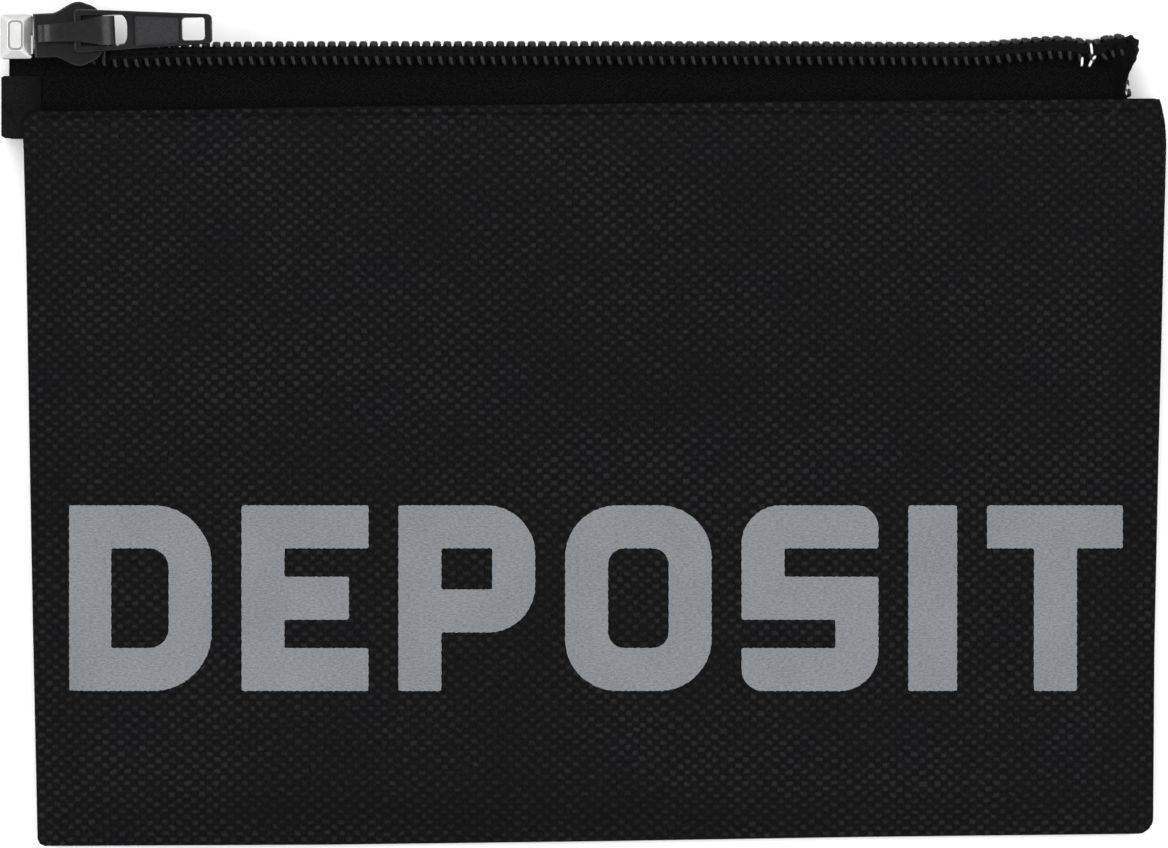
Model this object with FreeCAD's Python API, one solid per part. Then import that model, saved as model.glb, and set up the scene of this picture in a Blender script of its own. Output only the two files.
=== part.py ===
import FreeCAD, Part
import math
import os
from FreeCAD import Vector

# Zipped cash deposit bag, lying flat on its back panel with the mouth unzipped.
# Frame: +X along the zip towards its top stops, +Y from the bottom seam to the zip, +Z up.
# The origin is on the resting plane, under the middle of the whole bag. Millimetres.

# ---- Driving dimensions ---------------------------------------------------------------------
# Fabric panels
FABRIC = 0.75                    # heavy basket-woven nylon, one panel with its coating
PANEL_GAP = 0.3                  # play between the front and the back half of the bag
BAND_HEIGHT = 0.3                # back panel's folded seam allowance above its inner face
BAND_END_Y = 43.5                # the side seams end here, under the mouth hem
RIM_Z = 1.8                      # front panel's inner face above the seams
BELLY_RISE = 4.4                 # how far the belly lifts the front panel off that
BELLY_RAMP = 9.0                 # width of the rounded shoulder along each seam
MOUTH_BLEND = (22.0, 43.0)       # y over which the belly turns into the mouth's own lift

# Zip, size 5 coil
TAPE = 0.5                       # thickness of the woven tape
TAPE_HEM_Y = 44.0                # hidden edge of both tapes, inside the hems
TAPE_END_X = -88.5
FILM = 0.2                       # stiffening film on each face of a tape's end
FILM_X = (-89.5, -83.6)
FILM_Y = (44.1, 53.6)
COIL_HEIGHT = 1.9
COIL_START_X = -73.8             # front coil, just clear of the slider's nose
BACK_COIL_START_X = -78.0
TAPE_FLAT_Z = 1.0                # back tape where it is sewn to the back panel
FRONT_TAPE_Z = 3.65              # front tape's lower face where it enters the slider
MOUTH_LIFT = 3.3                 # extra lift of the front tape in the middle of the mouth
MOUTH_RISE = (-74.0, -30.0)      # x over which the mouth opens
MOUTH_FALL = (26.0, 66.0)        # x over which it closes again

# Slider and pull, in the slider's own frame: u forwards from its rear, v across, z up
SLIDER_REAR = Vector(-84.5, 59.6, 0.0)
SLIDER_YAW = 2.7                 # degrees, how far the slider sits askew on the tape
SLIDER_LENGTH = 11.1
SLIDER_NECK = 3.4                # half width at the rear
SLIDER_SHOULDER = 4.85           # half width at the widest point
SLIDER_Z = (2.7, 7.05)
PLATE = 0.8                      # thickness of each of its two plates
FLANGE = 0.55                    # thickness of its side flanges
SLOT_Z = (3.5, 4.3)              # gap between the flanges for the tapes
BRIDGE_HALF_WIDTH = (1.3, 2.23)  # at its rear foot and at its flared front foot
BRIDGE_SHIFT = 0.2               # how far the strap is cast off the slider's middle line
BRIDGE_TOP_Z = 10.15
BRIDGE_STRAP = 1.0
PULL_PIVOT = Vector(6.85, 0.35, 8.1)
PULL_YAW = -1.7                  # degrees, how far the pull lies askew in the bridge
PULL_LENGTH = 21.2
PULL_THICKNESS = 1.5
PULL_TILT = 1.5                  # degrees, how far its tip is propped up by the coil
PULL_HALF_WIDTH = (3.4, 2.25)    # at the ring and at the tip
PULL_BAR = 1.1                   # bar of the ring that hangs in the bridge, and the tip's bar
RING_HALF_WIDTH = 2.38
PULL_HOLE = (3.5, 1.75)          # length and half width of the hole at the tip
PULL_EDGE = 0.25                 # rounding of the tab's edges
PULL_RAIL = 0.5                  # rim beside the sunk panels

# Retainer box and pins
BOX_MIN = Vector(-89.75, 56.2, 3.0)
BOX_MAX = Vector(-84.9, 63.0, 6.6)
PIN_RADIUS = 0.55
PIN_BORE = 0.7
PIN_SPACING = 3.0

# Stitches and print
STITCH_PITCH = 3.85
STITCH_LENGTH = 3.1
STITCH_RADIUS = 0.15
SEAM_THREAD_RADIUS = 0.11
PRINT = 0.12                     # thickness of the flock print
PRINT_LEFT_X = -79.2
PRINT_BASE_Y = -41.0
LETTER_HEIGHT = 28.5
STROKE = 6.6
LETTER_GAP = 4.6

TALL = 20.0                      # height of the prisms that plans are cut with


# ---- Shape of the lifted front half ---------------------------------------------------------
def smooth(t):
    t = max(0.0, min(1.0, t))
    return t * t * (3 - 2 * t)


def ramp(value, start, end):
    return smooth((value - start) / (end - start))


def mouth_shape(x):
    """0 at both ends of the mouth and 1 in its middle."""
    return ramp(x, *MOUTH_RISE) * (1 - ramp(x, *MOUTH_FALL))


def tape_z(x):
    """Lower face of the front tape."""
    return FRONT_TAPE_Z + MOUTH_LIFT * mouth_shape(x)


def panel_z(x, y):
    """Lower face of the front panel: a rounded belly that turns into the lifted mouth."""
    left_edge = -85.5 - 0.018 * y
    right_edge = 88.5 + 0.018 * y
    bottom_edge = -64.5
    across = ramp(x, left_edge + 1, left_edge + 1 + BELLY_RAMP)
    across *= ramp(-x, 1 - right_edge, 1 - right_edge + BELLY_RAMP)
    up = ramp(y, bottom_edge + 1, bottom_edge + 1 + BELLY_RAMP)
    at_mouth = ramp(y, *MOUTH_BLEND)
    belly = RIM_Z + BELLY_RISE * across * up
    mouth = tape_z(x) + TAPE + FILM + 0.05
    return belly * (1 - at_mouth) + mouth * at_mouth


# ---- Building blocks ------------------------------------------------------------------------
def spline(points, z=0.0):
    curve = Part.BSplineCurve()
    curve.interpolate([Vector(x, y, z) for x, y in points])
    return curve.toShape()


def line(a, b, z=0.0):
    return Part.makeLine(Vector(a[0], a[1], z), Vector(b[0], b[1], z))


def ring_of(sides, z):
    """A closed wire: each side is a list of points, and short lines join one side to the next."""
    edges = []
    for index, side in enumerate(sides):
        edges.append(spline(side, z) if len(side) > 2 else line(side[0], side[1], z))
        start_of_next = sides[(index + 1) % len(sides)][0]
        gap = math.dist(side[-1], start_of_next)
        if gap > 1e-6:
            edges.append(line(side[-1], start_of_next, z))
    return Part.Wire(edges)


def prism(sides, low, high):
    return Part.Face(ring_of(sides, low)).extrude(Vector(0, 0, high - low))


def polygon_prism(points, low, high):
    corners = [Vector(x, y, low) for x, y in points]
    return Part.Face(Part.makePolygon(corners + corners[:1])).extrude(Vector(0, 0, high - low))


def block(low, high):
    size = high - low
    return Part.makeBox(size.x, size.y, size.z, low)


def rod(start, end, radius):
    direction = end - start
    return Part.makeCylinder(radius, direction.Length, start, direction)


def save(shape, node):
    shape.exportStep(f"parts/{node}.step")


def under_surface(height, depth):
    """Everything down to depth below the surface z = height(x, y), over the whole bag."""
    columns = [-96 + 6 * i for i in range(33)]
    rows = [-72 + 4 * j for j in range(33)]
    surface = Part.BSplineSurface()
    surface.interpolate([[Vector(x, y, height(x, y)) for y in rows] for x in columns])
    return surface.toShape().extrude(Vector(0, 0, -depth))


def between_profiles(low, high):
    """The band from low to high above the front tape's lower face, for every y of the bag."""
    stations = [-92, -83, -74, -63, -52, -41, -30, -16, -2, 12, 26, 36, 46, 56, 66, 75, 92]
    edges = []
    for offset in (low, high):
        curve = Part.BSplineCurve()
        curve.interpolate([Vector(x, -70, tape_z(x) + offset) for x in stations])
        edges.append(curve.toShape())
    for x in (stations[0], stations[-1]):
        edges.append(
            Part.makeLine(
                Vector(x, -70, tape_z(x) + low), Vector(x, -70, tape_z(x) + high)
            )
        )
    outline = Part.Wire(Part.__sortEdges__(edges))
    return Part.Face(outline).extrude(Vector(0, 140, 0))


# ---- Fabric panels --------------------------------------------------------------------------
PANEL_SIDES = [
    [(-86.4, 45.8), (-86.1, 30.0), (-85.6, 0.0), (-85.0, -32.0), (-84.3, -63.9)],
    [(-83.6, -65.1), (-40.0, -64.9), (0.0, -64.4), (43.0, -63.7), (86.9, -63.2)],
    [(87.8, -60.4), (88.0, -34.0), (88.6, -6.0), (89.3, 22.0), (89.75, 45.0)],
    [(88.9, 49.6), (84.0, 50.1)],
    [(84.0, 50.1), (42.0, 49.7), (0.0, 49.2), (-42.0, 48.7), (-84.4, 48.2)],
]
# The pouch inside the seam allowances. Above the ends of the side seams it is open to both sides.
POUCH = [
    (-79.7, BAND_END_Y), (-78.9, -21.0), (-77.8, -58.2),
    (80.4, -56.8), (81.6, -21.0), (83.1, BAND_END_Y),
    (95.0, BAND_END_Y), (95.0, 60.0), (-95.0, 60.0), (-95.0, BAND_END_Y),
]


def make_back_panel():
    sheet = prism(PANEL_SIDES, 0.0, FABRIC)
    band = prism(PANEL_SIDES, FABRIC, FABRIC + BAND_HEIGHT)
    band = band.cut(polygon_prism(POUCH, 0.0, TALL))
    return sheet.fuse(band).removeSplitter()


def make_front_panel():
    bottom = FABRIC + BAND_HEIGHT + PANEL_GAP
    body = prism(PANEL_SIDES, bottom, TALL)
    body = body.common(under_surface(lambda x, y: panel_z(x, y) + FABRIC, TALL))
    pouch = polygon_prism(POUCH, -1.0, TALL)
    return body.cut(pouch.common(under_surface(panel_z, TALL)))


# ---- Zip tapes and coils --------------------------------------------------------------------
# The coils run straight along the mouth, swell out a little before the stops and turn down into
# the right corner. Tails are the loops sewn to the tape, heads the ones that mesh.
COIL_TAILS = [(58.0, 54.95), (66.0, 55.3), (73.4, 55.9), (78.4, 55.3), (80.6, 54.0), (80.8, 50.4)]
COIL_HEADS = [
    (84.3, 50.4), (83.6, 52.6), (84.6, 54.8), (85.3, 57.0), (84.5, 59.2),
    (81.5, 59.5), (78.4, 59.0), (73.4, 59.7), (66.0, 59.2), (58.0, 58.65),
]
TAPE_EDGE = [
    (83.6, 50.4), (82.9, 52.6), (83.9, 54.8), (84.5, 57.0), (83.8, 58.4),
    (81.5, 58.7), (78.4, 58.2), (73.4, 58.9), (66.0, 58.4), (58.0, 57.9),
]


def coil_plan(start_x, low, high):
    tails = [(start_x, COIL_TAILS[0][1]), COIL_TAILS[0]]
    heads = [COIL_HEADS[-1], (start_x, COIL_HEADS[-1][1])]
    return prism([tails, COIL_TAILS, COIL_HEADS, heads], low, high)


def strip_plan(start_x, y, width, low, high):
    """A narrow strip along the coil, up to the stop."""
    centre = [(start_x, y), (58.0, y), (70.0, y + 0.7), (75.5, y + 0.9)]
    sides = []
    for a, b in zip(centre, centre[1:]):
        sides.append([(a[0], a[1] - width / 2), (b[0], b[1] - width / 2)])
    for b, a in reversed(list(zip(centre, centre[1:]))):
        sides.append([(a[0], a[1] + width / 2), (b[0], b[1] + width / 2)])
    return prism(sides, low, high)


def tape_plan(low, high):
    edge = [TAPE_EDGE[-1], (TAPE_END_X, TAPE_EDGE[-1][1])]
    hem = [(TAPE_END_X, TAPE_HEM_Y), (TAPE_EDGE[0][0], TAPE_HEM_Y)]
    return prism([TAPE_EDGE, edge, hem], low, high)


def back_tape_profile(below, above):
    """Section across the back tape, grown by below and above: it climbs from the panel to the coil."""
    low, high = TAPE_FLAT_Z - below, TAPE_FLAT_Z + TAPE + above
    climb = COIL_HEIGHT - TAPE_FLAT_Z
    section = [
        (40.0, low), (49.5, low), (54.3, low + climb), (62.0, low + climb),
        (62.0, high + climb), (54.3, high + climb), (49.5, high), (40.0, high),
    ]
    corners = [Vector(-95, y, z) for y, z in section]
    return Part.Face(Part.makePolygon(corners + corners[:1])).extrude(Vector(190, 0, 0))


def film_plan(low, high):
    (left, right), (lower, upper) = FILM_X, FILM_Y
    plate = block(Vector(left, lower, low), Vector(right, upper, high))
    corners = [edge for edge in plate.Edges if edge.BoundBox.ZLength > high - low - 0.01]
    return plate.makeFillet(1.0, [edge for edge in corners if edge.BoundBox.XMin < left + 0.1])


CORD = 0.8                       # filler cord inside each coil
CORD_Y = 56.3
THREAD_ROWS_Y = (55.6, 56.7)     # two rows of chain stitch hold each coil to its tape
THREAD = 0.25


def cord_tunnel(start_x, low, high):
    return strip_plan(start_x - 1.0, CORD_Y, CORD + 0.3, low, high)


def make_front_zip():
    tape = tape_plan(-1.0, TALL).common(between_profiles(0.0, TAPE))
    envelope = coil_plan(COIL_START_X, -1.0, TALL).common(
        between_profiles(TAPE, TAPE + COIL_HEIGHT)
    )
    middle = TAPE + COIL_HEIGHT / 2
    tunnel = cord_tunnel(COIL_START_X, -1.0, TALL).common(
        between_profiles(middle - CORD / 2 - 0.15, middle + CORD / 2 + 0.15)
    )
    cord = strip_plan(COIL_START_X, CORD_Y, CORD, -1.0, TALL).common(
        between_profiles(middle - CORD / 2, middle + CORD / 2)
    )
    top = TAPE + COIL_HEIGHT
    threads = [
        strip_plan(COIL_START_X + THREAD, y, THREAD, -1.0, TALL).common(
            between_profiles(top, top + THREAD)
        )
        for y in THREAD_ROWS_Y
    ]
    return tape, envelope.cut(tunnel), cord, Part.makeCompound(threads)


def make_back_zip():
    tape = tape_plan(-1.0, TALL).common(back_tape_profile(0.0, 0.0))
    beside_turned_coil = block(Vector(80.1, 49.8, -1.0), Vector(90.0, 54.4, TALL))
    tape = tape.cut(beside_turned_coil)
    envelope = coil_plan(BACK_COIL_START_X, 0.0, COIL_HEIGHT)
    middle = COIL_HEIGHT / 2
    tunnel = cord_tunnel(BACK_COIL_START_X, middle - CORD / 2 - 0.15, middle + CORD / 2 + 0.15)
    cord = strip_plan(BACK_COIL_START_X, CORD_Y, CORD, middle - CORD / 2, middle + CORD / 2)
    over = COIL_HEIGHT + TAPE
    threads = [
        strip_plan(BACK_COIL_START_X, y, THREAD, over, over + THREAD) for y in THREAD_ROWS_Y
    ]
    return tape, envelope.cut(tunnel), cord, Part.makeCompound(threads)


def make_front_film(tape):
    sleeve = film_plan(FRONT_TAPE_Z - FILM, FRONT_TAPE_Z + TAPE + FILM)
    return sleeve.cut(tape)


def make_back_film(tape):
    return film_plan(0.0, TALL).common(back_tape_profile(FILM, FILM)).cut(tape)


def make_front_stop(tape, coil):
    low, high = tape_z(77.6) - 0.35, tape_z(77.6) + TAPE + COIL_HEIGHT + 0.35
    clip = block(Vector(76.6, 54.3, low), Vector(78.9, 59.7, high))
    return clip.makeFillet(0.3, clip.Edges).cut(coil).cut(tape)


def make_back_stop(tape, coil):
    clip = block(Vector(80.1, 50.6, 0.0), Vector(84.9, 52.4, COIL_HEIGHT + TAPE + 0.35))
    tops = [edge for edge in clip.Edges if edge.BoundBox.ZMin > 0.1]
    return clip.makeFillet(0.3, tops).cut(coil).cut(tape)


# ---- Metal parts of the open end ------------------------------------------------------------
def pin_axis_y(side):
    return (BOX_MIN.y + BOX_MAX.y) / 2 + side * PIN_SPACING / 2


def make_retainer_box():
    box = block(BOX_MIN, BOX_MAX)
    right_side = [
        edge for edge in box.Edges
        if edge.BoundBox.XMin > BOX_MAX.x - 0.01 and edge.BoundBox.ZMin > BOX_MIN.z + 0.01
    ]
    box = box.makeChamfer(0.6, right_side)
    window = block(
        Vector(BOX_MIN.x + 1.2, BOX_MIN.y + 1.2, BOX_MAX.z - 0.45),
        Vector(BOX_MIN.x + 3.4, BOX_MAX.y - 1.1, BOX_MAX.z + 1),
    )
    box = box.cut(window)
    pin_z = FRONT_TAPE_Z + TAPE + 0.05 + PIN_RADIUS
    for side in (-1, 1):
        start = Vector(BOX_MIN.x + 0.8, pin_axis_y(side), pin_z)
        box = box.cut(rod(start, start + Vector(10, 0, 0), PIN_BORE))
    slot = block(
        Vector(BOX_MIN.x + 0.8, BOX_MIN.y - 1, SLOT_Z[0]),
        Vector(BOX_MAX.x + 1, pin_axis_y(-1) + 0.3, SLOT_Z[1]),
    )
    return box.cut(slot)


def make_retainer_pin():
    z = FRONT_TAPE_Z + TAPE + 0.05 + PIN_RADIUS
    start = Vector(BOX_MIN.x + 1.0, pin_axis_y(-1), z)
    pin = rod(start, start + Vector(8.6, 0, 0), PIN_RADIUS)
    return pin.makeChamfer(0.2, [edge for edge in pin.Edges if edge.Closed])


def make_insertion_pin():
    """Flattened tube crimped under the back tape's edge, with a tapered lead-in at its free end."""
    z = COIL_HEIGHT - 0.05 - PIN_RADIUS
    start = Vector(BOX_MIN.x + 0.6, 57.3, z)
    taper = Part.makeCone(0.3, PIN_RADIUS, 1.2, start, Vector(1, 0, 0))
    shank = rod(start + Vector(1.2, 0, 0), start + Vector(10.6, 0, 0), PIN_RADIUS)
    return taper.fuse(shank).removeSplitter()


# ---- Slider and pull ------------------------------------------------------------------------
def place(shape):
    """From the slider's own frame to the bag's."""
    shape.rotate(Vector(0, 0, 0), Vector(0, 0, 1), SLIDER_YAW)
    shape.translate(SLIDER_REAR)
    return shape


def slider_outline(inset):
    """Plan of the slider: straight neck, S-curve to the shoulders, rounded nose. Symmetric in v."""
    neck, shoulder = SLIDER_NECK - inset, SLIDER_SHOULDER - inset
    nose = SLIDER_LENGTH - inset
    flank = [(3.1, neck), (4.5, neck + 0.6), (6.2, shoulder), (8.2, shoulder - 0.25)]
    front = [(8.2, shoulder - 0.25), (10.2, 3.3 - inset), (nose, 1.3), (nose, -1.3)]
    front += [(10.2, inset - 3.3), (8.2, 0.25 - shoulder)]
    mirrored = [(u, -v) for u, v in reversed(flank)]
    rear = [(3.1, -neck), (0.0, -neck)]
    return [[(0.0, neck), (3.1, neck)], flank, front, mirrored, rear, [(0.0, -neck), (0.0, neck)]]


def make_slider():
    low, high = SLIDER_Z
    body = prism(slider_outline(0.0), low, high)
    channel = prism(slider_outline(FLANGE), SLOT_Z[0], high - PLATE)
    rear_mouth = block(
        Vector(-1, FLANGE - SLIDER_NECK, SLOT_Z[0]), Vector(1, SLIDER_NECK - FLANGE, high - PLATE)
    )
    front_mouths = block(
        Vector(8.0, -3.6, SLOT_Z[0]), Vector(SLIDER_LENGTH + 1, 3.6, high - PLATE)
    )
    slots = block(Vector(-1, -8, SLOT_Z[0]), Vector(SLIDER_LENGTH + 1, 8, SLOT_Z[1]))
    post = polygon_prism(
        [(5.9, 0.0), (8.4, 1.35), (SLIDER_LENGTH, 1.1), (SLIDER_LENGTH, -1.1), (8.4, -1.35)],
        low, high,
    )
    space = channel.fuse([rear_mouth, front_mouths, slots]).cut(post)
    body = body.cut(space)
    rims = [
        edge for edge in body.Edges
        if edge.BoundBox.ZLength < 0.01 and (edge.BoundBox.ZMin > high - 0.01)
    ]
    return body.makeFillet(0.3, rims)


def make_bridge():
    """The strap cast on the slider's top plate, flared at its front foot. The pull hangs in it."""
    foot = SLIDER_Z[1] - 0.3
    top = BRIDGE_TOP_Z
    rear, front = BRIDGE_HALF_WIDTH
    outer = [(0.6, foot), (0.75, 8.3), (1.6, top - 0.45), (3.2, top), (9.6, top)]
    outer += [(11.6, top - 0.55), (12.6, 8.6), (12.0, 7.6), (10.4, foot)]
    inner = [(1.9, foot), (2.0, 8.2), (2.6, top - BRIDGE_STRAP - 0.15)]
    inner += [(3.6, top - BRIDGE_STRAP), (9.4, top - BRIDGE_STRAP), (10.9, 8.75), (10.6, 7.9)]
    inner += [(9.4, foot)]
    edges = []
    for points in (outer, inner):
        curve = Part.BSplineCurve()
        curve.interpolate([Vector(u, -front, z) for u, z in points])
        edges.append(curve.toShape())
    for a, b in ((outer[0], inner[0]), (outer[-1], inner[-1])):
        edges.append(Part.makeLine(Vector(a[0], -front, a[1]), Vector(b[0], -front, b[1])))
    section = Part.Face(Part.Wire(Part.__sortEdges__(edges)))
    strap = section.extrude(Vector(0, 2 * front, 0))
    flare = [(0.0, rear), (5.5, rear + 0.15), (8.2, rear + 0.45), (10.6, front), (13.2, front)]
    mirrored = [(u, -v) for u, v in reversed(flare)]
    strap = strap.common(prism([flare, mirrored], 0.0, TALL))
    strap.translate(Vector(0, BRIDGE_SHIFT, 0))
    return strap


def pull_half_width(along):
    """Half width of the tab at a distance along it from the crown."""
    wide, narrow = PULL_HALF_WIDTH
    return wide + (narrow - wide) * along / PULL_LENGTH


def make_pull():
    """Flat tapered tab: ring window at the crown, a sunk panel on each face, a hole at the tip."""
    crown = -PULL_BAR / 2
    tip = crown + PULL_LENGTH
    thick = PULL_THICKNESS / 2
    wide, narrow = PULL_HALF_WIDTH
    corners = [(crown, wide), (tip, narrow), (tip, -narrow), (crown, -wide)]
    tab = polygon_prism(corners, -thick, thick)
    tab = tab.makeFillet(0.8, [e for e in tab.Edges if e.BoundBox.ZLength > 2 * thick - 0.01])
    tab = tab.makeFillet(PULL_EDGE, [e for e in tab.Edges if e.BoundBox.ZLength < 0.01])
    ring_end = crown + 7.3
    ring = prism(
        [
            [(crown + PULL_BAR, -RING_HALF_WIDTH), (ring_end, -RING_HALF_WIDTH)],
            [(ring_end, -RING_HALF_WIDTH), (crown + 7.95, -1.75), (crown + 8.2, 0.0),
             (crown + 7.95, 1.75), (ring_end, RING_HALF_WIDTH)],
            [(ring_end, RING_HALF_WIDTH), (crown + PULL_BAR, RING_HALF_WIDTH)],
            [(crown + PULL_BAR, RING_HALF_WIDTH), (crown + PULL_BAR, -RING_HALF_WIDTH)],
        ],
        -2.0, 2.0,
    )
    length, half = PULL_HOLE
    hole_end = tip - PULL_BAR
    hole = block(Vector(hole_end - length, -half, -2), Vector(hole_end, half, 2))
    hole = hole.makeFillet(0.5, [e for e in hole.Edges if e.BoundBox.ZLength > 3])
    tab = tab.cut(ring).cut(hole)
    start, end = 9.1, hole_end - length - crown - 0.25
    for face in (-1, 1):
        low, high = sorted((face * (thick - 0.3), face * (thick + 1)))
        sunk = polygon_prism(
            [
                (crown + start, PULL_RAIL - pull_half_width(start)),
                (crown + end, PULL_RAIL - pull_half_width(end)),
                (crown + end, pull_half_width(end) - PULL_RAIL),
                (crown + start, pull_half_width(start) - PULL_RAIL),
            ],
            low, high,
        )
        sunk = sunk.makeFillet(0.4, [e for e in sunk.Edges if e.BoundBox.ZLength > 1])
        tab = tab.cut(sunk)
    tab.rotate(Vector(0, 0, 0), Vector(0, 1, 0), -PULL_TILT)
    tab.rotate(Vector(0, 0, 0), Vector(0, 0, 1), PULL_YAW)
    tab.translate(PULL_PIVOT)
    return tab


# ---- Threads --------------------------------------------------------------------------------
def stitch_row(path, z_of, radius):
    """Separate stitches end to end along a path of straight runs, each a short round thread."""
    stitches = []
    for start, end in zip(path, path[1:]):
        run = math.dist(start, end)
        count = int(run // STITCH_PITCH)
        for index in range(count):
            ends = []
            for along in (index * STITCH_PITCH, index * STITCH_PITCH + STITCH_LENGTH):
                share = (along + (run - count * STITCH_PITCH) / 2) / run
                x = start[0] + (end[0] - start[0]) * share
                y = start[1] + (end[1] - start[1]) * share
                ends.append(Vector(x, y, z_of(x, y)))
            stitches.append(rod(ends[0], ends[1], radius))
    return Part.makeCompound(stitches)


SEAM_Z = FABRIC + BAND_HEIGHT + PANEL_GAP / 2
SEAM_ROWS = {
    "left_seam_thread": [(-84.3, 42.5), (-83.8, -21.0), (-82.8, -60.5)],
    "bottom_seam_thread": [(-81.5, -63.2), (0.0, -62.8), (84.5, -61.7)],
    "right_seam_thread": [(86.2, -58.5), (86.6, -21.0), (87.9, 42.5)],
}
TOPSTITCH_Y = 47.2


def make_front_topstitch():
    def surface(x, y):
        return panel_z(x, y) + FABRIC + STITCH_RADIUS + 0.12

    return stitch_row([(-84.0, TOPSTITCH_Y), (86.5, TOPSTITCH_Y + 1.0)], surface, STITCH_RADIUS)


def make_back_topstitch():
    def tape_top(x, y):
        return TAPE_FLAT_Z + TAPE + STITCH_RADIUS + 0.02

    return stitch_row([(-82.5, TOPSTITCH_Y), (83.0, TOPSTITCH_Y)], tape_top, STITCH_RADIUS)


# ---- Print ----------------------------------------------------------------------------------
def bar(left, bottom, right, top):
    return block(Vector(left, bottom, 0), Vector(right, top, TALL))


def rounded(left, bottom, right, top, radius, keep_left_square=False):
    shape = bar(left, bottom, right, top)
    corners = [edge for edge in shape.Edges if edge.BoundBox.ZLength > TALL - 0.01]
    if keep_left_square:
        corners = [edge for edge in corners if edge.BoundBox.XMin > left + 0.1]
    return shape.makeFillet(radius, corners)


def letter_d(width):
    outer = rounded(0, 0, width, LETTER_HEIGHT, 9.0, keep_left_square=True)
    return outer.cut(
        rounded(STROKE, STROKE, width - STROKE, LETTER_HEIGHT - STROKE, 3.0, keep_left_square=True)
    )


def letter_e(width):
    middle = (LETTER_HEIGHT - STROKE) / 2
    arms = [bar(0, y, width, y + STROKE) for y in (0.0, LETTER_HEIGHT - STROKE)]
    return bar(0, 0, STROKE, LETTER_HEIGHT).fuse(arms + [bar(0, middle, width - 3, middle + STROKE)])


def letter_p(width):
    waist = 9.0
    bowl = rounded(0, waist, width, LETTER_HEIGHT, 7.5, keep_left_square=True)
    bowl = bowl.cut(bar(STROKE, waist + STROKE, width - STROKE, LETTER_HEIGHT - STROKE))
    return bowl.fuse(bar(0, 0, STROKE, LETTER_HEIGHT))


def letter_o(width):
    outer = rounded(0, 0, width, LETTER_HEIGHT, 8.0)
    return outer.cut(rounded(STROKE, STROKE, width - STROKE, LETTER_HEIGHT - STROKE, 2.5))


def letter_s(width):
    middle = (LETTER_HEIGHT - STROKE) / 2
    shape = rounded(0, 0, width, LETTER_HEIGHT, 6.0)
    shape = shape.cut(bar(STROKE, middle + STROKE, width + 1, LETTER_HEIGHT - STROKE))
    return shape.cut(bar(-1, STROKE, width - STROKE, middle))


def letter_i(width):
    return bar(0, 0, width, LETTER_HEIGHT)


def letter_t(width):
    stem = (width - STROKE) / 2
    top = bar(0, LETTER_HEIGHT - STROKE, width, LETTER_HEIGHT)
    return top.fuse(bar(stem, 0, stem + STROKE, LETTER_HEIGHT))


def make_print():
    """A plain block word on the front panel, one thin film per letter."""
    word = [
        (letter_d, 22.0), (letter_e, 19.5), (letter_p, 21.0), (letter_o, 22.5),
        (letter_s, 21.0), (letter_i, 7.5), (letter_t, 21.0),
    ]
    top = under_surface(lambda x, y: panel_z(x, y) + FABRIC + PRINT, PRINT)
    films = []
    left = PRINT_LEFT_X
    for draw, width in word:
        letter = draw(width).removeSplitter()
        letter.translate(Vector(left, PRINT_BASE_Y, 0))
        films.extend(letter.common(top).Solids)
        left += width + LETTER_GAP
    return Part.makeCompound(films)


# ---- Write every piece ----------------------------------------------------------------------
os.makedirs("parts", exist_ok=True)

save(make_back_panel(), "back_panel")
save(make_front_panel(), "front_panel")

front_tape, front_coil, front_cord, front_threads = make_front_zip()
save(front_tape, "front_tape")
save(front_coil, "front_coil")
save(front_cord, "front_coil_cord")
save(front_threads, "front_coil_thread")
save(make_front_film(front_tape), "front_end_film")
save(make_front_stop(front_tape, front_coil), "front_top_stop")

back_tape, back_coil, back_cord, back_threads = make_back_zip()
save(back_tape, "back_tape")
save(back_coil, "back_coil")
save(back_cord, "back_coil_cord")
save(back_threads, "back_coil_thread")
save(make_back_film(back_tape), "back_end_film")
save(make_back_stop(back_tape, back_coil), "back_top_stop")

save(make_retainer_box(), "retainer_box")
save(make_retainer_pin(), "retainer_pin")
save(make_insertion_pin(), "insertion_pin")
save(place(make_slider().fuse(make_bridge()).removeSplitter()), "slider_body")
save(place(make_pull()), "pull_tab")

for node, path in SEAM_ROWS.items():
    save(stitch_row(path, lambda x, y: SEAM_Z, SEAM_THREAD_RADIUS), node)
save(make_front_topstitch(), "front_topstitch")
save(make_back_topstitch(), "back_topstitch")
save(make_print(), "front_print")
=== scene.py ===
import math

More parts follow.
